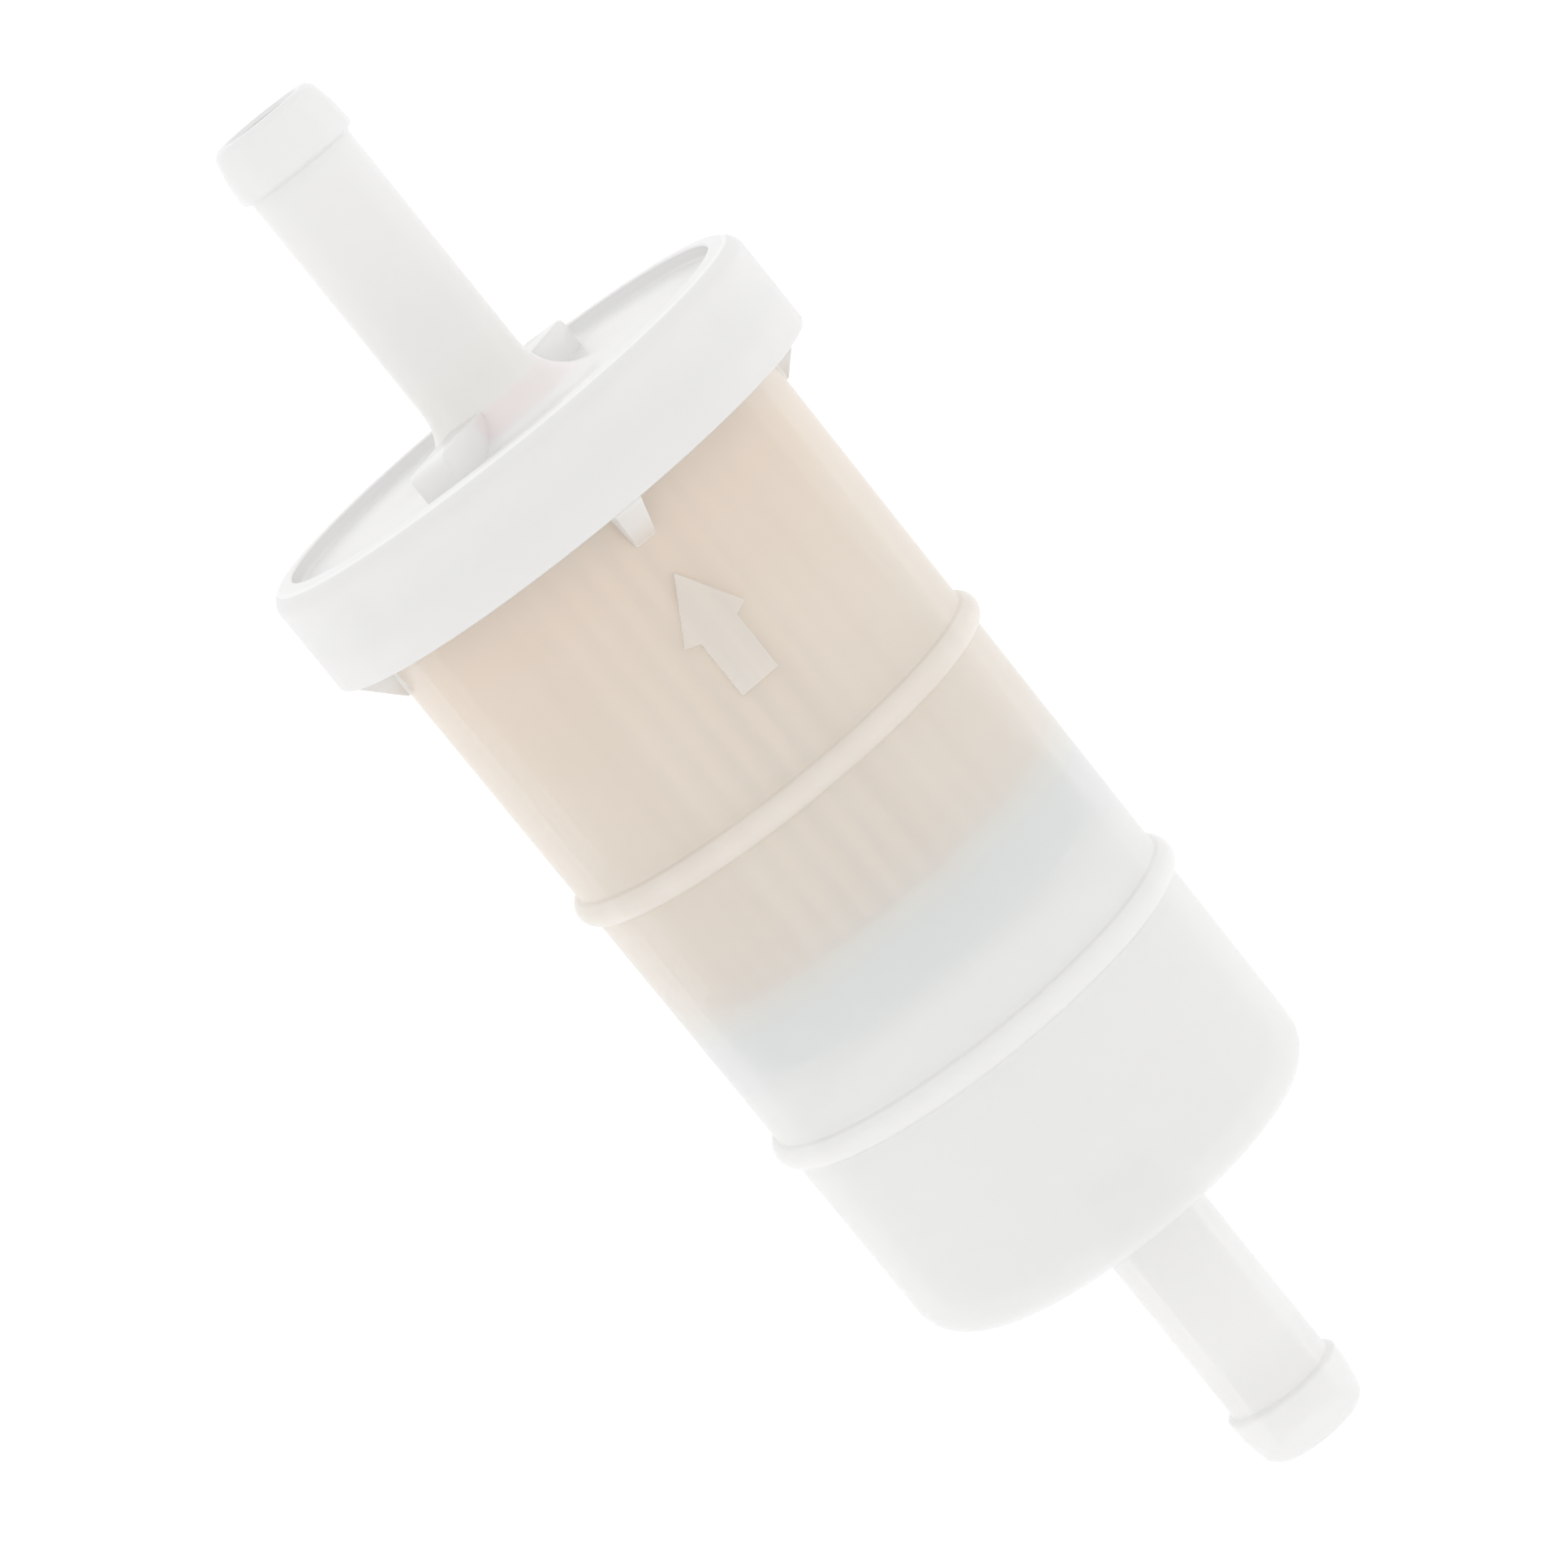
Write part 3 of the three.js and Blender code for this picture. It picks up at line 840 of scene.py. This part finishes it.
@dataclass
class Bottle:
    """The bottle: inlet spigot, rounded bottom, tapered wall, two rings, arrow, gussets and flange."""

    top_r: float = 16.2
    bottom_r: float = 16.0
    bottom_z: float = -27.8
    edge_r: float = 3.1
    wall: float = 1.6
    floor: float = 1.8
    inner_corner: float = 1.6
    flange_r: float = 19.55
    flange_z: float = 32.4
    joint_z: float = 35.3
    groove_inner: float = 16.25
    groove_outer: float = 17.75
    groove_depth: float = 1.15
    inlet_shoulder: float = -44.4
    inlet_tip: float = -48.65
    ring_z: float = 10.6
    ring_half: float = 1.0
    ring_height: float = 0.8
    gussets: int = 4
    gusset_leg: float = 2.85
    arrow_raise: float = 0.35
    arrow_stem: float = 1.48
    arrow_head: float = 2.5
    arrow_foot: float = 17.9
    arrow_neck: float = 22.2
    arrow_wing: float = 22.55
    arrow_tip: float = 26.85
    steps: int = 144
    barb: HoseBarb = field(default_factory=HoseBarb)

    def outside(self, z: float) -> float:
        """The bottle's outside radius at a height, in millimetres."""
        share = (z - self.bottom_z) / (self.flange_z - self.bottom_z)
        return self.bottom_r + (self.top_r - self.bottom_r) * share

    def ring(self, z: float) -> list[Point]:
        """The profile of a locating ring, with small fillets at its roots.

        Args:
            z: the ring's middle height.

        Returns:
            The points, climbing.
        """
        radius = (self.ring_half ** 2 + self.ring_height ** 2) / (2 * self.ring_height)
        half = math.degrees(math.asin(self.ring_half / radius))
        middle = (self.outside(z) + self.ring_height - radius, z)
        crown = Bench.arc(middle, radius, -half * 0.86, half * 0.86, 12)
        start = (self.outside(z - self.ring_half - 0.2), z - self.ring_half - 0.2)
        end = (self.outside(z + self.ring_half + 0.2), z + self.ring_half + 0.2)
        near = (self.outside(z) + 0.05, z - self.ring_half)
        far = (self.outside(z) + 0.05, z + self.ring_half)
        return [start, near] + crown + [far, end]

    def profile(self) -> list[Point]:
        """The bottle's closed profile: outside from the inlet's bore up to the flange, and back inside.

        Returns:
            The points.
        """
        inner_r = self.bottom_r - self.wall
        floor_z = self.bottom_z + self.floor
        spigot = self.barb.spigot_r
        barb = self.barb.outline(self.inlet_shoulder, self.inlet_tip)
        root = Bench.arc((spigot + 0.5, self.bottom_z - 0.5), 0.5, 180, 90, 4)
        edge_at = (self.bottom_r - self.edge_r, self.bottom_z + self.edge_r)
        edge = Bench.arc(edge_at, self.edge_r, -90, 0, 14)
        climb = [(self.outside(z), z) for z in (-18.0, -14.0)]
        between = [(self.outside(z), z) for z in (-6.0, 0.0, 6.0)]
        upper = [(self.outside(z), z) for z in (17.0, 23.0, 28.0)]
        under = Bench.arc((self.top_r + 0.3, self.flange_z - 0.3), 0.3, 180, 90, 3)
        rim = [(self.flange_r - 0.25, self.flange_z), (self.flange_r - 0.07, self.flange_z + 0.07)]
        rim += [(self.flange_r, self.flange_z + 0.25), (self.flange_r, self.joint_z)]
        groove = [
            (self.groove_outer, self.joint_z),
            (self.groove_outer, self.joint_z - self.groove_depth),
            (self.groove_inner, self.joint_z - self.groove_depth),
            (self.groove_inner, self.joint_z),
        ]
        inner = [(self.top_r - self.wall, self.joint_z)]
        inner += [(self.outside(z) - self.wall, z) for z in (25.0, 12.0, 0.0, -12.0)]
        corner_at = (inner_r - self.inner_corner, floor_z + self.inner_corner)
        corner = Bench.arc(corner_at, self.inner_corner, 0, -90, 8)
        bore = [(self.barb.bore_r + 0.3, floor_z), (self.barb.bore_r, floor_z - 0.3)]
        outside = list(reversed(barb)) + root + edge + climb + self.ring(-self.ring_z) + between
        outside += self.ring(self.ring_z) + upper + under + rim
        return outside + groove + inner + corner + bore

    def gusset(self) -> Piece:
        """One gusset under the flange, on -Y, tapered towards its foot.

        Returns:
            The gusset's solid, with softened edges.
        """
        inner = self.top_r - 0.5
        outer = self.top_r + self.gusset_leg
        foot = self.flange_z - self.gusset_leg
        outline = [
            (inner, foot),
            (self.top_r, foot),
            (self.top_r + 0.35, foot + 0.12),
            (outer - 0.1, self.flange_z - 0.2),
            (outer, self.flange_z + 0.3),
            (inner, self.flange_z + 0.3),
        ]
        piece = Bench.prism("gusset", outline, -1.0, 1.0)
        Bench.hold(piece)
        bpy.ops.object.mode_set(mode="EDIT")
        edit = bmesh.from_edit_mesh(piece.data)
        for v in edit.verts:
            share = (v.co.z / MM - foot) / self.gusset_leg
            v.co.y *= 0.8 + 0.3 * min(share, 1.0)
        bmesh.update_edit_mesh(piece.data)
        bpy.ops.object.mode_set(mode="OBJECT")
        Bench.bevel(piece, 0.14)
        Bench.turn(piece, -math.pi / 2)
        return piece

    def arrow(self) -> Piece:
        """The raised arrow on -Y: its outline crossed with a thin skin over the wall.

        Returns:
            The arrow's solid.
        """
        right = [
            (self.arrow_stem, self.arrow_foot),
            (self.arrow_stem, self.arrow_neck),
            (self.arrow_head, self.arrow_wing),
        ]
        left = [(-x, z) for x, z in reversed(right)]
        outline = left[-1:] + right + [(0.0, self.arrow_tip)] + left[:-1]
        piece = Bench.prism("arrow", outline, -self.top_r - self.wall, -self.top_r + 0.8)
        low, high = 16.0, 28.5
        skin_points = [
            (self.outside(low) - 0.5, low),
            (self.outside(low) + self.arrow_raise, low),
            (self.outside(high) + self.arrow_raise, high),
            (self.outside(high) - 0.5, high),
        ]
        skin = Bench.turned("arrow_skin", skin_points, self.steps)
        Bench.boolean(piece, skin, "INTERSECT")
        Bench.bevel(piece, 0.03, 1)
        return piece

    def is_inside(self, middle: Vector) -> bool:
        """Whether a face at this place, in millimetres, looks into the chamber."""
        above = middle.z > self.bottom_z + self.floor / 2
        return above and middle.xy.length < self.bottom_r - self.wall / 2

    def build(self, outside: Material, inside: Material, thick: Material) -> Piece:
        """Makes the bottle.

        Args:
            outside: the outer surface's finish.
            inside: the finish of the surface round the chamber.
            thick: the finish where the wall is thicker, on the arrow and gussets.

        Returns:
            The finished piece.
        """
        piece = Bench.turned("bottle", self.profile(), self.steps)
        for finish in (outside, inside):
            piece.data.materials.append(finish)
        Bench.hold(piece)
        bpy.ops.object.mode_set(mode="EDIT")
        bpy.ops.mesh.select_all(action="DESELECT")
        edit = bmesh.from_edit_mesh(piece.data)
        for face in edit.faces:
            face.select = self.is_inside(face.calc_center_median() / MM)
        bmesh.update_edit_mesh(piece.data)
        piece.active_material_index = 1
        bpy.ops.object.material_slot_assign()
        bpy.ops.object.mode_set(mode="OBJECT")
        tools = [self.arrow()]
        for i in range(self.gussets):
            gusset = self.gusset()
            Bench.turn(gusset, i * 2 * math.pi / self.gussets)
            tools.append(gusset)
        for tool in tools:
            tool.data.materials.clear()
            tool.data.materials.append(thick)
            Bench.boolean(piece, tool, "UNION")
        Bench.smooth(piece)
        Bench.dress(piece, outside, "housing_nylon", ("housing",))
        return piece


@dataclass
class Cap:
    """The cap: skirt with its weld tongue, recessed face with two driving ribs, and the outlet spigot."""

    joint_z: float = 35.3
    top_z: float = 40.15
    flange_r: float = 19.55
    edge_r: float = 1.4
    recess_r: float = 17.5
    recess_depth: float = 1.0
    plate: float = 2.2
    skirt_inner: float = 14.6
    tongue_inner: float = 16.4
    tongue_outer: float = 17.6
    tongue_depth: float = 1.0
    root_r: float = 4.0
    shoulder: float = 60.9
    tip: float = 65.0
    socket_r: float = 4.15
    socket_top: float = 40.7
    boss_r: float = 7.0
    boss_z: float = 35.9
    rib_angle: float = -38.0
    rib_start: float = 4.3
    rib_end: float = 12.0
    rib_thick: float = 3.0
    rib_top: float = 41.5
    steps: int = 144
    barb: HoseBarb = field(default_factory=HoseBarb)

    def profile(self) -> list[Point]:
        """The cap's closed profile.

        Returns:
            The points, from the joint round the outside, up the spigot and back down the bore.
        """
        face = self.top_z - self.recess_depth
        under = face - self.plate
        spigot = self.barb.spigot_r
        tongue = [
            (self.skirt_inner, self.joint_z),
            (self.tongue_inner, self.joint_z),
            (self.tongue_inner + 0.1, self.joint_z - self.tongue_depth),
            (self.tongue_outer - 0.1, self.joint_z - self.tongue_depth),
            (self.tongue_outer, self.joint_z),
            (self.flange_r, self.joint_z),
        ]
        edge = Bench.arc((self.flange_r - self.edge_r, self.top_z - self.edge_r), self.edge_r, 0, 90, 10)
        lip = [(self.recess_r + 0.12, self.top_z), (self.recess_r + 0.02, self.top_z - 0.1)]
        foot = Bench.arc((self.recess_r - 0.25, face + 0.25), 0.25, 0, -90, 3)
        root = Bench.arc((spigot + self.root_r, face + self.root_r), self.root_r, -90, -180, 14)
        shank = [(spigot, 50.0), (spigot, 56.0)]
        barb = self.barb.outline(self.shoulder, self.tip)
        bore = [(self.barb.bore_r, self.socket_top), (self.socket_r, self.socket_top)]
        boss = [(self.socket_r, self.boss_z), (self.boss_r, self.boss_z), (self.boss_r, under)]
        inside = [(self.skirt_inner, under)]
        return tongue + edge + lip + foot + root + shank + barb + bore + boss + inside

    def rib(self) -> Piece:
        """One driving rib, on +X, with softened edges.

        Returns:
            The rib's solid.
        """
        bottom = self.top_z - self.recess_depth - 0.5
        corner = Bench.arc((self.rib_end - 0.6, self.rib_top - 0.6), 0.6, 0, 90, 5)
        outline = [(self.rib_start, bottom), (self.rib_end, bottom)] + corner
        outline += [(self.rib_start, self.rib_top)]
        piece = Bench.prism("rib", outline, -self.rib_thick / 2, self.rib_thick / 2)
        Bench.bevel(piece, 0.12)
        return piece

    def build(self, finish: Material) -> Piece:
        """Makes the cap.

        Args:
            finish: its finish.

        Returns:
            The finished piece.
        """
        piece = Bench.turned("lid", self.profile(), self.steps)
        piece.data.materials.append(finish)
        for half in (0.0, math.pi):
            rib = self.rib()
            Bench.turn(rib, math.radians(self.rib_angle) - math.pi / 2 + half)
            rib.data.materials.append(finish)
            Bench.boolean(piece, rib, "UNION")
        Bench.smooth(piece)
        Bench.dress(piece, finish, "cap_nylon", ("cap",))
        return piece


@dataclass
class Element:
    """The filter element: pleated paper with its seam, core tube, two plates, two bonds and the washer."""

    pleats: int = 36
    outer_r: float = 13.0
    inner_r: float = 8.1
    paper_thick: float = 0.4
    paper_low: float = -2.6
    paper_high: float = 32.95
    fold_steps: int = 4
    plate_r: float = 14.1
    plate_thick: float = 1.0
    lip: float = 0.6
    upper_top: float = 35.0
    upper_lip: float = 32.6
    neck_r: float = 4.0
    neck_bore: float = 2.75
    neck_top: float = 40.5
    collar_out: float = 6.4
    collar_in: float = 5.4
    collar_low: float = 26.0
    lower_bottom: float = -5.1
    lower_lip: float = 0.5
    stub_top: float = -1.0
    core_in: float = 6.5
    core_out: float = 7.5
    core_low: float = -4.0
    core_high: float = 33.9
    window_rows: int = 5
    windows: int = 6
    window_wide: float = 3.6
    window_high: float = 4.2
    window_first: float = 1.2
    window_pitch: float = 6.4
    fold_r: float = 0.35
    rows: int = 8
    seam_from: float = 9.6
    seam_deep: float = 2.8
    seam_wide: float = 0.7
    bond_inner: float = 7.6
    washer_low: float = 35.05
    washer_high: float = 35.85
    washer_in: float = 4.1
    washer_out: float = 6.6
    steps: int = 96

    def pleat_line(self) -> list[Point]:
        """The middle line of the pleated sheet, seen along the axis.

        Returns:
            Its points round the axis, with rounded folds.
        """
        pitch = 2 * math.pi / self.pleats
        line: list[Point] = []
        for i in range(self.pleats):
            at = math.pi / 2 + i * pitch
            for middle, radius, way in ((at, self.inner_r, 1.0), (at + pitch / 2, self.outer_r, -1.0)):
                for s in range(self.fold_steps + 1):
                    turn = math.pi * (s / self.fold_steps - 0.5)
                    angle = middle + self.fold_r * math.sin(turn) / radius
                    reach = radius + way * self.fold_r * (1 - math.cos(turn))
                    line.append((reach * math.cos(angle), reach * math.sin(angle)))
        return line

    def paper(self) -> Piece:
        """The pleated paper, folded from one sheet and given its thickness.

        Returns:
            The paper's solid.
        """
        Bench.clear()
        line = self.pleat_line()
        bpy.ops.mesh.primitive_circle_add(vertices=len(line), radius=self.outer_r * MM)
        piece = bpy.context.object
        piece.name = "pleated_paper"
        bpy.ops.object.mode_set(mode="EDIT")
        edit = bmesh.from_edit_mesh(piece.data)
        edit.verts.ensure_lookup_table()
        for v, (x, y) in zip(edit.verts, line):
            v.co = (x * MM, y * MM, self.paper_low * MM)
        bmesh.update_edit_mesh(piece.data)
        bpy.ops.mesh.select_all(action="SELECT")
        rise = (self.paper_high - self.paper_low) / self.rows * MM
        for _ in range(self.rows):
            bpy.ops.mesh.extrude_region_move(TRANSFORM_OT_translate={"value": (0.0, 0.0, rise)})
        bpy.ops.mesh.select_all(action="SELECT")
        bpy.ops.mesh.normals_make_consistent(inside=False)
        bpy.ops.object.mode_set(mode="OBJECT")
        settings = {"thickness": self.paper_thick * MM, "offset": 0.0, "use_even_offset": False}
        Bench.apply(piece, "SOLIDIFY", settings)
        return Bench.smooth(piece, 50.0)

    def seam(self) -> Piece:
        """The glue in the fold on +Y where the paper's ends meet.

        Returns:
            The seam's solid.
        """
        Bench.clear()
        deep = self.paper_high - self.paper_low
        middle = (self.paper_high + self.paper_low) / 2
        radius = self.seam_from + self.seam_deep / 2
        bpy.ops.mesh.primitive_cube_add(size=1.0, location=(0.0, radius * MM, middle * MM))
        piece = bpy.context.object
        piece.name = "paper_joint"
        piece.scale = (self.seam_wide * MM, self.seam_deep * MM, deep * MM)
        Bench.settle(piece)
        bpy.ops.object.mode_set(mode="EDIT")
        bpy.ops.mesh.subdivide(number_cuts=2)
        edit = bmesh.from_edit_mesh(piece.data)
        for v in edit.verts:
            share = (v.co.y / MM - self.seam_from) / self.seam_deep
            v.co.x *= 0.28 + 0.72 * share
        bmesh.update_edit_mesh(piece.data)
        bpy.ops.object.mode_set(mode="OBJECT")
        Bench.bevel(piece, 0.06)
        return Bench.smooth(piece)

    def core(self) -> Piece:
        """The core tube with its rows of windows.

        Returns:
            The tube's solid.
        """
        soft = 0.12
        points = [
            (self.core_in, self.core_low),
            (self.core_out - soft, self.core_low),
            (self.core_out, self.core_low + soft),
            (self.core_out, self.core_high - soft),
            (self.core_out - soft, self.core_high),
            (self.core_in, self.core_high),
        ]
        piece = Bench.turned("core", points, self.steps)
        for row in range(self.window_rows):
            z = self.window_first + row * self.window_pitch + self.window_high / 2
            for i in range(self.windows // 2):
                Bench.clear()
                bpy.ops.mesh.primitive_cube_add(size=1.0, location=(0.0, 0.0, z * MM))
                cutter = bpy.context.object
                cutter.scale = (self.core_out * 3 * MM, self.window_wide * MM, self.window_high * MM)
                Bench.settle(cutter)
                Bench.bevel(cutter, 0.4)
                Bench.turn(cutter, (i + (row % 2) / 2) * 2 * math.pi / self.windows)
                Bench.boolean(piece, cutter, "DIFFERENCE")
        return Bench.smooth(piece)

    def upper_plate(self) -> Piece:
        """The upper plate, with its lip, collar and outlet neck.

        Returns:
            The plate's solid.
        """
        under = self.upper_top - self.plate_thick
        soft = 0.25
        points = [
            (self.neck_bore, under),
            (self.collar_in, under),
            (self.collar_in, self.collar_low),
            (self.collar_out - 0.2, self.collar_low),
            (self.collar_out, self.collar_low + 0.2),
            (self.collar_out, under),
            (self.plate_r - self.lip, under),
            (self.plate_r - self.lip, self.upper_lip),
            (self.plate_r - 0.1, self.upper_lip),
            (self.plate_r, self.upper_lip + 0.1),
        ]
        points += Bench.arc((self.plate_r - soft, self.upper_top - soft), soft, 0, 90, 4)
        points += Bench.arc((self.neck_r + 0.3, self.upper_top + 0.3), 0.3, -90, -180, 4)
        points += [(self.neck_r, self.neck_top - 0.2), (self.neck_r - 0.2, self.neck_top)]
        points += [(self.neck_bore, self.neck_top)]
        return Bench.smooth(Bench.turned("upper_plate", points, self.steps))

    def lower_plate(self) -> Piece:
        """The closed lower plate, with its deep lip and the stub inside the core.

        Returns:
            The plate's solid.
        """
        top = self.lower_bottom + self.plate_thick
        soft = 0.5
        points = [(0.0, self.lower_bottom)]
        points += Bench.arc((self.plate_r - soft, self.lower_bottom + soft), soft, -90, 0, 6)
        points += [
            (self.plate_r, self.lower_lip - 0.15),
            (self.plate_r - 0.15, self.lower_lip),
            (self.plate_r - self.lip, self.lower_lip),
            (self.plate_r - self.lip, top),
            (self.collar_out, top),
            (self.collar_out, self.stub_top - 0.15),
            (self.collar_out - 0.15, self.stub_top),
            (self.collar_in, self.stub_top),
            (self.collar_in, top),
            (0.0, top),
        ]
        return Bench.smooth(Bench.turned("lower_plate", points, self.steps, closed=False))

    def bond(self, name: str, low: float, high: float) -> Piece:
        """A ring of adhesive between two heights, its free face slightly domed.

        Args:
            name: the piece's name.
            low: its bottom, in millimetres.
            high: its top.

        Returns:
            The ring's solid.
        """
        inner, outer = self.bond_inner, self.plate_r - self.lip - 0.05
        points = [(inner, low + 0.05), (outer, low + 0.05), (outer, high - 0.12)]
        points += [(outer - 0.3, high - 0.05), (inner + 0.3, high - 0.05), (inner, high - 0.12)]
        return Bench.smooth(Bench.turned(name, points, self.steps))

    def washer(self) -> Piece:
        """The washer round the neck, with rounded edges.

        Returns:
            The washer's solid.
        """
        low, high, inner, outer = self.washer_low, self.washer_high, self.washer_in, self.washer_out
        points = [(inner, low + 0.1), (inner + 0.1, low), (outer - 0.2, low), (outer, low + 0.2)]
        points += [(outer, high - 0.2), (outer - 0.2, high), (inner + 0.1, high), (inner, high - 0.1)]
        return Bench.smooth(Bench.turned("neck_seal", points, self.steps))

    def build(self) -> list[Piece]:
        """Makes and dresses the element's pieces.

        Returns:
            The pieces.
        """
        under = self.upper_top - self.plate_thick
        over = self.lower_bottom + self.plate_thick
        adhesive = Moulding("adhesive", (0.85, 0.68, 0.46), 0.45, 0.5, 0.03)
        rubber = Moulding("seal_rubber", (0.85, 0.5, 0.46), 0.6)
        made = [
            (self.paper(), "filter_paper", "filter_paper", Paper("paper")),
            (self.seam(), "paper_seam", "seam_adhesive", Moulding("seam_glue", (0.8, 0.6, 0.38), 0.4)),
            (self.core(), "core_tube", "core_nylon", Moulding("core_plastic", (0.8, 0.62, 0.42), 0.55)),
            (self.upper_plate(), "upper_end_plate", "salmon_plate", Moulding("salmon", (0.9, 0.5, 0.44))),
            (self.lower_plate(), "lower_end_plate", "slate_plate", Moulding("slate", (0.7, 0.79, 0.79))),
            (self.bond("upper_adhesive", self.paper_high, under), "upper_bond", "bond_adhesive", adhesive),
            (self.bond("lower_adhesive", over, self.paper_low), "lower_bond", "bond_adhesive", adhesive),
            (self.washer(), "neck_washer", "washer_rubber", rubber),
        ]
        for piece, node, slot, finish in made:
            Bench.dress(piece, finish.material(), slot, (node,))
        return [piece for piece, *_ in made]


# Studio


class Side(Enum):
    """Which side of the object a softbox stands on."""

    LEFT = -1.0
    RIGHT = 1.0


@dataclass
class Viewpoint:
    """The camera: a long lens a little above the object, rolled so that the filter lies on a diagonal."""

    azimuth: float = -8.0
    elevation: float = 9.85
    distance: float = 0.490
    lens: float = 169.06
    sensor: float = 36.0
    roll: float = 38.92
    aim_z: float = 0.00887
    aim_left: float = 0.00072

    def directions(self) -> tuple[Vector, Vector, Vector]:
        """Which way the unrolled camera faces.

        Returns:
            Its right, up and backward directions.
        """
        a, e = math.radians(self.azimuth), math.radians(self.elevation)
        back = Vector((math.sin(a) * math.cos(e), -math.cos(a) * math.cos(e), math.sin(e)))
        right = Vector((math.cos(a), math.sin(a), 0.0))
        return right, back.cross(right), back

    def build(self) -> bpy.types.Object:
        """Makes the scene's camera.

        Returns:
            The camera.
        """
        right, up, back = self.directions()
        target = Vector((0.0, 0.0, self.aim_z)) - right * self.aim_left
        roll = math.radians(self.roll)
        lean = up * math.cos(roll) + right * math.sin(roll)
        across = lean.cross(back)
        turn = Matrix((across, lean, back)).transposed()
        Bench.clear()
        bpy.ops.object.camera_add(location=target + back * self.distance, rotation=turn.to_euler())
        camera = bpy.context.object
        camera.name = "viewpoint"
        camera.data.lens, camera.data.sensor_width = self.lens, self.sensor
        camera.data.clip_start, camera.data.clip_end = 0.01, 60.0
        bpy.context.scene.camera = camera
        return camera


@dataclass
class Studio:
    """A white sweep, an even white room that is dimmer behind the camera, and two side softboxes."""

    sweep_half: float = 20.0
    sweep_drop: float = 0.09
    room: float = 1.14
    front_dim: float = 0.03
    front: Point = (-0.1, -0.75)
    side_dim: float = 0.2
    box_wide: float = 0.35
    box_tall: float = 0.8
    box_rise: float = 0.25
    box_far: float = 0.8
    box_angle: float = 82.0
    box_power: float = 0.25
    clear_bounces: int = 32

    def sweep(self) -> bpy.types.Object:
        """The floor, just under the lowest point of the filter.

        Returns:
            The floor.
        """
        Bench.clear()
        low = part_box("housing")[0].z - self.sweep_drop
        bpy.ops.mesh.primitive_plane_add(size=2 * self.sweep_half, location=(0.0, 0.0, low))
        floor = bpy.context.object
        floor.name = "sweep"
        floor.data.materials.append(LitFloor().material())
        return floor

    def surround(self) -> None:
        """The even room light: white, a little dimmer behind the camera and to the sides."""
        world = bpy.data.worlds.new("room")
        bpy.context.scene.world = world
        g = Graph(world)
        split = g.node("ShaderNodeSeparateXYZ", {}, {0: g.node("ShaderNodeTexCoord").colour("Generated")})
        across, along = split.out(0), split.out(1)
        strength = self.room - along.step(*self.front) * self.front_dim - across * across * self.side_dim
        shine = g.node("ShaderNodeBackground", {}, {"Color": opaque(1.0, 1.0, 1.0), "Strength": strength})
        g.node("ShaderNodeOutputWorld", {}, {"Surface": shine.colour()})

    def softbox(self, side: Side, view: Viewpoint) -> bpy.types.Object:
        """One tall softbox beside the object.

        Args:
            side: the side it stands on.
            view: the viewpoint that its angle is taken from.

        Returns:
            The lamp.
        """
        azimuth = math.radians(view.azimuth + side.value * self.box_angle)
        spot = Vector((math.sin(azimuth), -math.cos(azimuth), self.box_rise)) * self.box_far
        aim = (-spot).to_track_quat("-Z", "Y")
        Bench.clear()
        bpy.ops.object.light_add(type="AREA", location=spot, rotation=aim.to_euler())
        lamp = bpy.context.object
        lamp.name = f"softbox_{side.name.lower()}"
        lamp.data.shape = "RECTANGLE"
        lamp.data.size, lamp.data.size_y = self.box_wide, self.box_tall
        lamp.data.energy = self.box_power
        return lamp

    def build(self, view: Viewpoint) -> None:
        """Sets the stage.

        Args:
            view: the viewpoint.
        """
        self.sweep()
        self.surround()
        for side in Side:
            self.softbox(side, view)
        bpy.context.scene.cycles.transparent_max_bounces = self.clear_bounces
        bpy.context.scene.view_settings.view_transform = "Standard"
        bpy.context.scene.view_settings.look = "None"


def main() -> None:
    """Builds the filter and its studio, and reports each piece."""
    logging.basicConfig(level=logging.INFO, format="%(message)s")
    Bottle().build(
        Nylon("bottle_outside", OUTER_BANDS).material(),
        Nylon("bottle_inside", INNER_BANDS, milk=0.5, edge_gain=0.1, pleat_shading=0.12).material(),
        # The raised finish carries a painted highlight along the arrow's edges.
        Nylon("bottle_raised", RAISED_BANDS, milk=0.75, highlight_r=16.31, highlight_half=0.11, highlight_z=17.5).material(),
    )
    # The cap carries a painted highlight along the edge of its rim.
    Cap().build(Nylon("cap_nylon", CAP_BANDS, milk=0.86, highlight_r=18.8).material())
    Element().build()
    view = Viewpoint()
    view.build()
    Studio().build(view)


if __name__ == "__main__":
    main()
